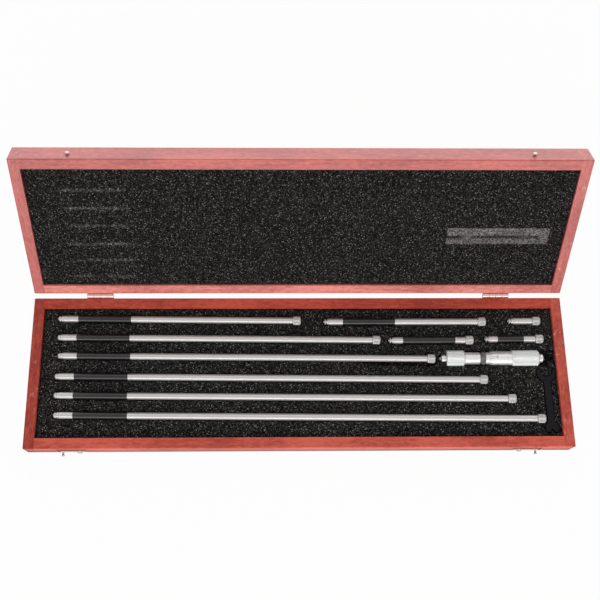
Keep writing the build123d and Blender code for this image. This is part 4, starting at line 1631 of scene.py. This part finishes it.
@dataclass
class MarkSheet:
    """Engraved marks round a turned surface, as thin black sheets that follow it.

    The surface is a cone between two places along the axis, and a cylinder beyond either.
    """

    first_radius: float
    last_radius: float
    first: float
    last: float
    rise: float = 0.014 * MM
    angle_step: float = 4.0
    letter_scale: float = 1.38
    points: list[Point] = field(default_factory=list)
    faces: Faces = field(default_factory=list)

    def lifted(self, along: float, turn: float) -> Point:
        """Finds a point just above the surface.

        Args:
            along: Place along the axis.
            turn: Angle round it in degrees.

        Returns:
            The point.
        """
        share = min(max((along - self.first) / (self.last - self.first), 0.0), 1.0)
        radius = self.first_radius + (self.last_radius - self.first_radius) * share + self.rise
        angle = math.radians(turn)
        return along, radius * math.cos(angle), radius * math.sin(angle)

    def strip(self, pairs: list[tuple[Point, Point]]) -> None:
        """Adds a strip of quads.

        Args:
            pairs: Pairs of points across the strip.
        """
        start = len(self.points)
        for near, far in pairs:
            self.points.extend([near, far])
        for at in range(start, len(self.points) - 2, 2):
            self.faces.append((at, at + 2, at + 3, at + 1))

    def rule(self, start: float, end: float, turn: float, width: float) -> None:
        """Adds a line along the axis.

        Args:
            start: Where it starts.
            end: Where it ends.
            turn: Angle round the axis in degrees.
            width: Width of the line.
        """
        half = math.degrees(width / 2 / self.last_radius)
        self.strip([
            (self.lifted(along, turn - half), self.lifted(along, turn + half)) for along in (start, end)
        ])

    def tick(self, along: float, width: float, first: float, last: float) -> None:
        """Adds a short line round the axis.

        Args:
            along: Place along the axis.
            width: Width of the line.
            first: Angle in degrees where it starts.
            last: Angle in degrees where it ends.
        """
        count = max(2, math.ceil(abs(last - first) / self.angle_step) + 1)
        self.strip([
            (self.lifted(along + width / 2, turn), self.lifted(along - width / 2, turn))
            for turn in np.linspace(first, last, count)
        ])

    def number(self, text: str, along: float, turn: float, height: float) -> None:
        """Adds a number whose line of writing runs along the axis.

        Args:
            text: The number.
            along: Place of its middle along the axis.
            turn: Angle of its middle in degrees.
            height: Height of its figures.
        """
        curve = bpy.data.curves.new("Number", "FONT")
        curve.body = text
        curve.size = height * self.letter_scale
        curve.align_x = "CENTER"
        curve.align_y = "CENTER"
        curve.resolution_u = 3
        writing = bpy.data.objects.new("Number", curve)
        flat = bpy.data.meshes.new_from_object(writing)
        start = len(self.points)
        for vertex in flat.vertices:
            angle = turn + math.degrees(vertex.co.y / self.last_radius)
            self.points.append(self.lifted(along + vertex.co.x, angle))
        self.faces.extend(tuple(start + index for index in face.vertices) for face in flat.polygons)
        bpy.data.objects.remove(writing)
        bpy.data.meshes.remove(flat)
        bpy.data.curves.remove(curve)

    def piece(self, name: str, place: Matrix, material: Material, body: Body) -> None:
        """Puts the marks in the scene.

        Args:
            name: Name of the piece.
            place: Where the surface's axis lies in the frame.
            material: Filling of the marks.
            body: Body that they ride on.
        """
        mesh = fill_mesh(name, np.array(self.points), self.faces)
        mesh.transform(place)
        new_piece(name, mesh, material, body, Slot.CHROME)


@dataclass
class MicrometerHead:
    """Screw head: contact stud, knurled grip and barrel, lock ring, sleeve, nut, screw and thimble."""

    finishes: Finishes
    cone_length: float = 2.7 * MM
    stud_length: float = 4.4 * MM
    stud_radius: float = 4.0 * MM
    stud_rim: float = 1.0 * MM
    stud_rim_depth: float = 0.35 * MM
    grip_length: float = 17.7 * MM
    grip_radius: float = 7.95 * MM
    grip_chamfer: float = 1.1 * MM
    barrel_length: float = 15.3 * MM
    barrel_radius: float = 6.1 * MM
    barrel_neck: float = 0.9 * MM
    core_radius: float = 5.35 * MM
    ring_length: float = 4.8 * MM
    ring_radius: float = 6.8 * MM
    ring_chamfer: float = 0.4 * MM
    exposed_sleeve: float = 3.7 * MM
    sleeve_length: float = 33.1 * MM
    sleeve_radius: float = 5.95 * MM
    bevel_length: float = 2.7 * MM
    bevel_lip: float = 0.35 * MM
    skirt_length: float = 21.65 * MM
    skirt_groove_at: float = 4.3 * MM
    skirt_groove_depth: float = 0.30 * MM
    thimble_radius: float = 7.1 * MM
    knurl_length: float = 26.65 * MM
    knurl_radius: float = 7.95 * MM
    knurl_start: float = 0.15 * MM
    knurl_chamfer: float = 1.5 * MM
    cap_thickness: float = 5.0 * MM
    seat_radius: float = 2.6 * MM
    stub_length: float = 3.4 * MM
    stub_radius: float = 4.3 * MM
    stub_groove_depth: float = 0.3 * MM
    tip_length: float = 1.8 * MM
    tip_radius: float = 2.6 * MM
    fit: float = 0.05 * MM
    moving_room: float = 0.3 * MM
    end_room: float = 0.5 * MM
    step_room: float = 0.3 * MM
    reading_angle: float = 90.0
    thimble_divisions: int = 25
    sleeve_divisions: int = 40
    sleeve_line: float = 0.09 * MM
    sleeve_tick: float = 0.12 * MM
    sleeve_number: float = 1.5 * MM
    thimble_line: float = 0.17 * MM
    thimble_number: float = 2.6 * MM

    def __post_init__(self) -> None:
        """Finds the head's axis from its nodes in the frame, and where each part of it starts."""
        low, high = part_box("head_contact_stud")
        self.start = Vector((low.x, (low.y + high.y) / 2, (low.z + high.z) / 2))
        self.place = Matrix.Translation(self.start)
        self.grip_at = self.cone_length + self.stud_length
        self.barrel_at = self.grip_at + self.grip_length
        self.ring_at = self.barrel_at + self.barrel_length
        self.sleeve_at = self.ring_at + self.ring_length
        self.sleeve_end = self.sleeve_at + self.sleeve_length
        self.thimble_at = self.sleeve_at + self.exposed_sleeve
        self.knurl_at = self.thimble_at + self.skirt_length
        self.stub_at = self.knurl_at + self.knurl_length
        self.length = self.stub_at + self.stub_length + self.tip_length
        self.travel = joint("spindle_travel")["range_m"][1]

    def build(self) -> None:
        """Makes every visible piece of the head."""
        self.build_stud()
        self.build_body()
        self.build_lock_ring()
        self.build_sleeve()
        self.build_spindle()
        self.build_thimble()
        self.build_sleeve_marks()
        self.build_thimble_marks()

    def build_stud(self) -> None:
        """Makes the fixed contact: a cone on a short stud with an eased rim."""
        rim_at, low = self.grip_at - self.stud_rim, self.stud_radius - self.stud_rim_depth
        turning = Turning((
            Corner(0.0, 0.0),
            Corner(0.0, 0.6 * MM, 0.15 * MM),
            Corner(self.cone_length, self.stud_radius - 1.2 * MM, 0.15 * MM),
            Corner(self.cone_length, self.stud_radius, 0.3 * MM),
            Corner(rim_at, self.stud_radius, 0.1 * MM),
            Corner(rim_at, low, 0.1 * MM),
            Corner(self.grip_at, low),
            Corner(self.grip_at, 0.0),
        ))
        contact, node = self.finishes.contact, "head_contact_stud"
        turning.piece("head_fixed_contact", self.place, contact, Body.BASE, Slot.STEEL, node)

    def build_body(self) -> None:
        """Makes the knurled grip, and the bright barrel with the core under the sleeve."""
        grip, barrel = self.grip_radius, self.barrel_radius
        knurled = Turning((
            Corner(self.grip_at, 0.0),
            Corner(self.grip_at, grip - self.knurl_start, 0.05 * MM),
            Corner(self.grip_at + self.knurl_start, grip, 0.03 * MM, knurled=True),
            Corner(self.barrel_at - self.grip_chamfer, grip, 0.1 * MM),
            Corner(self.barrel_at, barrel + 0.4 * MM, 0.15 * MM),
            Corner(self.barrel_at, 0.0),
        ))
        knurl = self.finishes.knurl
        knurled.piece("head_knurled_grip", self.place, knurl, Body.BASE, Slot.KNURLED, "head_body")
        plain = Turning((
            Corner(self.barrel_at - self.fit, 0.0),
            Corner(self.barrel_at - self.fit, barrel),
            Corner(self.ring_at - self.barrel_neck, barrel, 0.5 * MM),
            Corner(self.ring_at, barrel - 0.7 * MM, 0.1 * MM),
            Corner(self.ring_at, self.core_radius),
            Corner(self.sleeve_end, self.core_radius),
            Corner(self.sleeve_end, 0.0),
        ))
        plain.piece("head_barrel", self.place, self.finishes.chrome, Body.BASE, Slot.CHROME)

    def build_lock_ring(self) -> None:
        """Makes the dark knurled ring that clamps the screw."""
        start, end = self.ring_at + self.fit, self.sleeve_at - self.fit
        bore, radius, chamfer = self.core_radius + self.fit, self.ring_radius, self.ring_chamfer
        turning = Turning((
            Corner(start, bore),
            Corner(start, radius - chamfer, 0.08 * MM),
            Corner(start + chamfer, radius, 0.08 * MM, knurled=True),
            Corner(end - chamfer, radius, 0.08 * MM),
            Corner(end, radius - chamfer, 0.08 * MM),
            Corner(end, bore),
        ), ring=True)
        blued = self.finishes.blued
        turning.piece("head_lock_ring", self.place, blued, Body.LOCK_RING, Slot.BLUED, "lock_ring")

    def build_sleeve(self) -> None:
        """Makes the satin sleeve that carries the inch divisions."""
        sleeve = Turning((
            Corner(self.sleeve_at, self.core_radius),
            Corner(self.sleeve_at, self.sleeve_radius, 0.2 * MM),
            Corner(self.sleeve_end, self.sleeve_radius, 0.1 * MM),
            Corner(self.sleeve_end, self.core_radius),
        ), ring=True)
        chrome = self.finishes.chrome
        sleeve.piece("head_sleeve", self.place, chrome, Body.BASE, Slot.CHROME, "graduated_sleeve")

    def build_spindle(self) -> None:
        """Makes the measuring screw's end: the seat in the thimble, the bright stub and its contact."""
        inner, seat, radius = self.stub_at - self.cap_thickness, self.seat_radius, self.stub_radius
        stub, low = self.stub_at + self.fit, self.stub_radius - self.stub_groove_depth
        turning = Turning((
            Corner(inner, 0.0),
            Corner(inner, seat),
            Corner(stub, seat),
            Corner(stub, radius, 0.3 * MM),
            Corner(stub + 1.1 * MM, radius, 0.1 * MM),
            Corner(stub + 1.1 * MM, low, 0.1 * MM),
            Corner(stub + 1.5 * MM, low, 0.1 * MM),
            Corner(stub + 1.5 * MM, radius, 0.1 * MM),
            Corner(self.stub_at + self.stub_length, radius, 0.45 * MM),
            Corner(self.length - 0.2 * MM, self.tip_radius, 0.3 * MM),
            Corner(self.length, 0.0),
        ))
        contact = self.finishes.contact
        turning.piece("head_spindle_contact", self.place, contact, Body.SPINDLE, Slot.STEEL, "spindle")

    def build_thimble(self) -> None:
        """Makes the thimble: bevelled edge, plain skirt with one fine groove, and the knurled grip."""
        bore, radius = self.sleeve_radius + self.fit, self.thimble_radius
        groove, low = self.knurl_at - self.skirt_groove_at, radius - self.skirt_groove_depth
        skirt = Turning((
            Corner(self.thimble_at, bore),
            Corner(self.thimble_at, bore + self.bevel_lip, 0.05 * MM),
            Corner(self.thimble_at + self.bevel_length, radius, 0.25 * MM),
            Corner(groove, radius, 0.04 * MM),
            Corner(groove + 0.08 * MM, low, 0.03 * MM),
            Corner(groove + 0.42 * MM, low, 0.03 * MM),
            Corner(groove + 0.50 * MM, radius, 0.04 * MM),
            Corner(self.knurl_at, radius),
            Corner(self.knurl_at, bore),
        ), ring=True)
        chrome = self.finishes.chrome
        skirt.piece("head_thimble_skirt", self.place, chrome, Body.THIMBLE, Slot.CHROME, "thimble")
        knurl, chamfer, seat = self.knurl_radius, self.knurl_chamfer, self.seat_radius + self.fit
        inner = self.stub_at - self.cap_thickness
        grip = Turning((
            Corner(self.knurl_at, bore),
            Corner(self.knurl_at, knurl - self.knurl_start, 0.05 * MM),
            Corner(self.knurl_at + self.knurl_start, knurl, 0.03 * MM, knurled=True),
            Corner(self.stub_at - chamfer, knurl, 0.1 * MM),
            Corner(self.stub_at, knurl - chamfer, 0.2 * MM),
            Corner(self.stub_at, seat, 0.1 * MM),
            Corner(inner, seat),
            Corner(inner, bore),
        ), ring=True)
        grip.piece("head_thimble_grip", self.place, self.finishes.knurl, Body.THIMBLE, Slot.KNURLED)

    def build_sleeve_marks(self) -> None:
        """Draws the index line, 40 divisions to the inch and a number at every fourth."""
        radius, top = self.sleeve_radius, self.reading_angle
        marks = MarkSheet(radius, radius, self.sleeve_at, self.sleeve_at + INCH)
        zero = self.thimble_at + self.fit
        marks.rule(zero - 3.0 * MM, zero + 1.05 * INCH, top, self.sleeve_line)
        for count in range(self.sleeve_divisions + 1):
            along = zero + count * INCH / self.sleeve_divisions
            major = count % 4 == 0
            reach = 2.3 * MM if major else 1.4 * MM
            marks.tick(along, self.sleeve_tick, top, top + math.degrees(reach / radius))
            if major:
                turn = top + math.degrees(3.3 * MM / radius)
                marks.number(str(count // 4 % 10), along, turn, self.sleeve_number)
        marks.piece("head_sleeve_divisions", self.place, self.finishes.enamel, Body.BASE)

    def build_thimble_marks(self) -> None:
        """Draws 25 divisions round the thimble's edge, with a number at every fifth."""
        start, end = self.thimble_at, self.thimble_at + self.bevel_length
        edge_radius = self.sleeve_radius + self.fit + self.bevel_lip
        marks = MarkSheet(edge_radius, self.thimble_radius, start, end)
        for count in range(self.thimble_divisions):
            turn = self.reading_angle - count * 360.0 / self.thimble_divisions
            major = count % 5 == 0
            reach = 2.4 * MM if major else 0.6 * MM
            marks.rule(start + 0.25 * MM, end - 0.1 * MM, turn, self.thimble_line)
            marks.rule(end, end + reach, turn, self.thimble_line)
            if major:
                marks.number(str(count), end + 4.2 * MM, turn, self.thimble_number)
        marks.piece("head_thimble_divisions", self.place, self.finishes.enamel, Body.THIMBLE)

    def trough(self) -> Trough:
        """Shapes the cut-out of the foam that the head lies in, with room for the thimble to run out.

        Returns:
            Trough with a stretch for each diameter of the head.
        """
        step, fit, moving = self.step_room, self.fit, self.moving_room
        run_out = self.stub_at + self.travel + self.end_room
        end = self.length + self.travel + self.end_room
        return Trough((self.start.x, self.start.y), 0.0, self.start.z, (
            Stretch(-self.end_room, self.grip_at - step + fit, self.stud_radius + fit),
            Stretch(self.grip_at - step, self.barrel_at + step, self.grip_radius + fit),
            Stretch(self.barrel_at, self.knurl_at - step + fit, self.thimble_radius + moving),
            Stretch(self.knurl_at - step, run_out, self.knurl_radius + moving),
            Stretch(run_out - step, end, self.stub_radius + moving),
        ))


@dataclass
class Wrench:
    """Thin two-ended wrench, flush in its own bed."""

    finishes: Finishes
    node: str = "wrench"
    edge: float = 0.35 * MM
    edge_steps: int = 3
    room: float = 0.6 * MM
    outline_step: float = 0.8 * MM

    def build(self) -> None:
        """Makes the wrench with its edges eased."""
        mesh = softened_copy(self.node, self.edge, self.edge_steps)
        material = self.finishes.wrench
        new_piece("wrench_eased", mesh, material, Body.BASE, Slot.BLACK_OXIDE, self.node)

    def bed(self, face: float) -> FlatBed:
        """Shapes the cut-out of the foam that the wrench lies in.

        Args:
            face: Height of the foam's face.

        Returns:
            Flat-bottomed cut-out, a little wider than the wrench.
        """
        low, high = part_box(self.node)
        loop = self.top_outline(high.z)
        spaced = resampled(loop if loop_area(loop) > 0 else loop[::-1], self.outline_step)
        run = np.roll(spaced, -1, axis=0) - np.roll(spaced, 1, axis=0)
        outward = np.stack([run[:, 1], -run[:, 0]], axis=1) / np.linalg.norm(run, axis=1)[:, None]
        moved = spaced + outward * self.room
        return FlatBed(tuple((float(x), float(y)) for x, y in moved), face - low.z)

    def top_outline(self, height: float) -> np.ndarray:
        """Follows the outline of the wrench's upper face in the frame.

        Args:
            height: Height of that face.

        Returns:
            Points of the outline.
        """
        work = bmesh.new()
        work.from_mesh(frame["nodes"][self.node].data)
        bmesh.ops.remove_doubles(work, verts=work.verts, dist=SAME_PLACE)
        level = [
            face for face in work.faces if all(abs(v.co.z - height) < SAME_PLACE for v in face.verts)
        ]
        rim = {edge for face in level for edge in face.edges}
        rim = [edge for edge in rim if sum(face in edge.link_faces for face in level) == 1]
        ahead: dict[int, list[bmesh.types.BMEdge]] = {}
        for edge in rim:
            for vertex in edge.verts:
                ahead.setdefault(vertex.index, []).append(edge)
        first = min(rim, key=lambda edge: min(v.index for v in edge.verts))
        at, edge, outline = first.verts[0], first, []
        for _ in rim:
            outline.append((at.co.x, at.co.y))
            at = edge.other_vert(at)
            edge = next(other for other in ahead[at.index] if other is not edge)
        work.free()
        return np.array(outline)


@dataclass
class Foam:
    """Foam bed of the base and foam of the lid."""

    finishes: Finishes
    rods: list[ExtensionRod]
    head: MicrometerHead
    wrench: Wrench
    notched_inches: int = 14
    side_room: float = 0.02 * MM
    press_depth: float = 0.85 * MM
    press_wall: float = 0.9 * MM
    press_margin: float = 6.0 * MM
    outline_step: float = 1.15 * MM
    mark_left: float = 137.2 * MM
    mark_right: float = 232.9 * MM
    mark_front: float = -0.5 * MM
    mark_back: float = 16.9 * MM
    crease: float = 9.0 * MM
    streak_shift: float = 0.4 * MM
    streak_left: float = -216.0 * MM
    streak_right: float = -157.0 * MM

    def build(self) -> None:
        """Makes both pieces of foam."""
        self.build_bed()
        self.build_lid_foam()

    def build_bed(self) -> None:
        """Makes the foam bed with a fitted cut-out for every instrument."""
        low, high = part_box("base_foam")
        room = Vector((self.side_room, self.side_room, 0))
        notched = next(rod for rod in self.rods if rod.inches == self.notched_inches)
        cuts = [rod.trough() for rod in self.rods]
        cuts += [self.head.trough(), self.wrench.bed(high.z), notched.notch()]
        slab = FoamSlab(
            tuple((low + room).xy), tuple((high - room).xy), face=high.z, back=low.z, cuts=tuple(cuts)
        )
        name = "foam_bed"
        piece = new_piece(name, slab.mesh(name), self.finishes.foam, Body.BASE, Slot.FOAM, "base_foam")

    def dip(self) -> FlatBed:
        """Shapes the shallow dip that the head presses in the lid's foam.

        Returns:
            Flat dip over the head, in the place of the shut lid.
        """
        head = self.head
        left, right = head.start.x - head.end_room, head.start.x + head.stub_at + head.travel
        back = head.start.y + head.grip_radius
        front = head.start.y - head.grip_radius - self.press_margin
        corners = np.array([(left, front), (right, front), (right, back), (left, back)])
        outline = resampled(corners, self.outline_step)
        return FlatBed(tuple((x, y) for x, y in outline), self.press_depth)

    def build_lid_foam(self) -> None:
        """Makes the foam of the lid, with the shallow dip and the pale mark that the head leaves."""
        swing = lid_swing()
        shut = swing.inverted()
        points = [shut @ vertex.co for vertex in frame["nodes"]["lid_foam"].data.vertices]
        low, high = Vector(map(min, zip(*points))), Vector(map(max, zip(*points)))
        slab = FoamSlab(
            (low.x + self.side_room, low.y + self.side_room),
            (high.x - self.side_room, high.y - self.side_room),
            face=low.z, back=high.z, cuts=(self.dip(),), wall=self.press_wall,
        )
        rows = tuple(rod.start.y + self.streak_shift for rod in self.rods if rod.inches >= FIRST_LONG_ROD)
        mark = RubbedMark(
            self.mark_left, self.mark_right, self.mark_front, self.mark_back, self.crease,
            rows, self.streak_left, self.streak_right,
        )
        material = Flecked("Black_flecked_foam_of_the_lid", rubbed=mark, turn=open_angle()).build()
        name = "foam_of_the_lid"
        mesh = slab.mesh(name)
        mesh.transform(swing)
        piece = new_piece(name, mesh, material, Body.LID, Slot.FOAM, "lid_foam")


def dress(node: str, material: Material) -> None:
    """Gives a CAD node its finish in every material slot.

    Args:
        node: Name of the node.
        material: The finish.
    """
    for slot in frame["nodes"][node].material_slots:
        slot.material = material
    LOG.info("%s dressed in %s", node, material.name)


@dataclass
class CaseFittings:
    """Hinges, hooks, screws and catch pins."""

    finishes: Finishes
    leaf_edge: float = 0.12 * MM
    hook_edge: float = 0.22 * MM
    fasteners: tuple[str, ...] = (
        "hinge_pins", "hinge_screws_base", "hinge_screws_lid", "hook_pivot_screws", "lid_catch_pins",
    )

    def build(self) -> None:
        """Makes the eased plates and dresses the fasteners."""
        for side, hook_body in (("left", Body.LEFT_HOOK), ("right", Body.RIGHT_HOOK)):
            for half, body in (("base", Body.BASE), ("lid", Body.LID)):
                leaf = f"{side}_hinge_{half}_leaf"
                mesh = softened_copy(leaf, self.leaf_edge)
                new_piece(f"{leaf}_eased", mesh, self.finishes.hinge, body, Slot.HINGE, leaf)
            hook = f"{side}_hook"
            mesh = softened_copy(hook, self.hook_edge)
            new_piece(f"{hook}_eased", mesh, self.finishes.nickel, hook_body, Slot.NICKEL, hook)
        for node in self.fasteners:
            dress(node, self.finishes.nickel)


@dataclass
class WoodCase:
    """Boards of the base and of the lid."""

    finishes: Finishes
    halves: tuple[str, ...] = ("base", "lid")
    sides: tuple[str, ...] = ("front", "back", "left", "right")
    panels: tuple[str, ...] = ("base_bottom_panel", "lid_top_panel")

    def build(self) -> None:
        """Dresses every board in its own piece of wood."""
        rails = [f"{half}_{side}_rail" for half in self.halves for side in self.sides]
        for number, node in enumerate([*rails, *self.panels]):
            dress(node, self.finishes.board(node, number))


@dataclass(frozen=True)
class Lamp:
    """Oblong soft lamp that looks at the middle of the case."""

    name: str
    place: Point
    size: tuple[float, float]
    power: float

    def build(self) -> None:
        """Hangs the lamp."""
        light = bpy.data.lights.new(self.name, "AREA")
        light.shape = "RECTANGLE"
        light.size, light.size_y = self.size
        light.energy = self.power
        lamp = bpy.data.objects.new(self.name, light)
        lamp.location = self.place
        lamp.rotation_euler = (-Vector(self.place)).to_track_quat("-Z", "Y").to_euler()
        link(lamp)


@dataclass(frozen=True)
class Studio:
    """Pale floor, soft light and the camera."""

    camera_place: Point = (-0.03145, -0.20219, 0.82470)
    pitch: float = 72.329
    yaw: float = 3.753
    roll: float = 3.496
    lens: float = 52.13
    sensor_width: float = 36.0
    shift_x: float = 0.0266
    shift_y: float = 0.0289
    clip_start: float = 0.01
    floor_size: float = 30.0
    floor_colour: Colour = (0.80, 0.80, 0.80)
    white_share: float = 0.96
    ambient: float = 0.44
    white: Colour = (1.0, 1.0, 1.0)
    lamps: tuple[Lamp, ...] = (
        Lamp("Front_softbox", (0.0, -1.15, 0.46), (2.4, 0.80), 15.0),
        Lamp("Back_softbox", (0.0, 1.10, 1.00), (3.0, 1.1), 10.0),
        Lamp("Low_back_softbox", (0.0, 1.40, 0.20), (2.4, 0.36), 6.0),
    )

    def build(self) -> None:
        """Makes the floor, the world, the lamps and the camera."""
        bpy.context.scene.view_settings.view_transform = "Standard"
        self.build_floor()
        self.build_world()
        for lamp in self.lamps:
            lamp.build()
        self.build_camera()

    def build_floor(self) -> None:
        """Lays the white floor that keeps a soft shadow."""
        half = self.floor_size / 2
        corners = [(-half, -half, 0.0), (half, -half, 0.0), (half, half, 0.0), (-half, half, 0.0)]
        mesh = fill_mesh("Floor", np.array(corners), [(0, 1, 2, 3)])
        graph = Graph("White_floor")
        graph.finish(base_color=self.floor_colour, roughness=0.9, specular_ior_level=0.0)
        glow = graph.add("ShaderNodeEmission", {"Color": self.white, "Strength": 1.0})
        share = graph.times(graph.seen(), self.white_share)
        shaders = {0: share, 1: graph.shader.outputs[0], 2: glow.outputs[0]}
        blend = graph.add("ShaderNodeMixShader", shaders)
        graph.connect(blend.outputs[0], graph.output.inputs["Surface"])
        mesh.materials.append(graph.material)
        floor = bpy.data.objects.new("Floor", mesh)
        link(floor)

    def build_world(self) -> None:
        """Makes white surroundings for the camera and for reflections, and an even ambient light."""
        world = bpy.data.worlds.new("Studio_surroundings")
        bpy.context.scene.world = world
        world.use_nodes = True
        tree = Tree(world.node_tree)
        levels = {"Value": tree.seen(), "To Min": self.ambient, "To Max": 1.0}
        ground = tree.tree.nodes["Background"]
        tree.feed(ground.inputs["Strength"], tree.add("ShaderNodeMapRange", levels).outputs[0])
        tree.feed(ground.inputs["Color"], self.white)

    def build_camera(self) -> None:
        """Puts the camera at the photograph's place and angle."""
        pitch, yaw, roll = (math.radians(angle) for angle in (self.pitch, self.yaw, self.roll))
        ahead = Vector((
            math.sin(yaw) * math.cos(pitch), math.cos(yaw) * math.cos(pitch), -math.sin(pitch),
        ))
        level = Vector((math.cos(yaw), -math.sin(yaw), 0.0))
        above = level.cross(ahead)
        right = level * math.cos(roll) + above * math.sin(roll)
        up = above * math.cos(roll) - level * math.sin(roll)
        data = bpy.data.cameras.new("Photograph_camera")
        data.sensor_width = self.sensor_width
        data.lens = self.lens
        data.shift_x = self.shift_x
        data.shift_y = self.shift_y
        data.clip_start = self.clip_start
        camera = bpy.data.objects.new("Photograph_camera", data)
        camera.matrix_world = Matrix((right, up, -ahead)).transposed().to_4x4()
        camera.location = self.camera_place
        link(camera)
        bpy.context.scene.camera = camera


def main() -> None:
    """Builds the whole set around the frame."""
    logging.basicConfig(level=logging.INFO, format="%(name)s: %(message)s")
    finishes = Finishes()
    WoodCase(finishes).build()
    CaseFittings(finishes).build()
    rods = [ExtensionRod(inches, finishes) for inches in ROD_INCHES]
    for rod in rods:
        rod.build()
    head = MicrometerHead(finishes)
    head.build()
    dress("adjusting_nut", finishes.chrome)
    wrench = Wrench(finishes)
    wrench.build()
    Foam(finishes, rods, head, wrench).build()
    Studio().build()


if __name__ == "__main__":
    main()
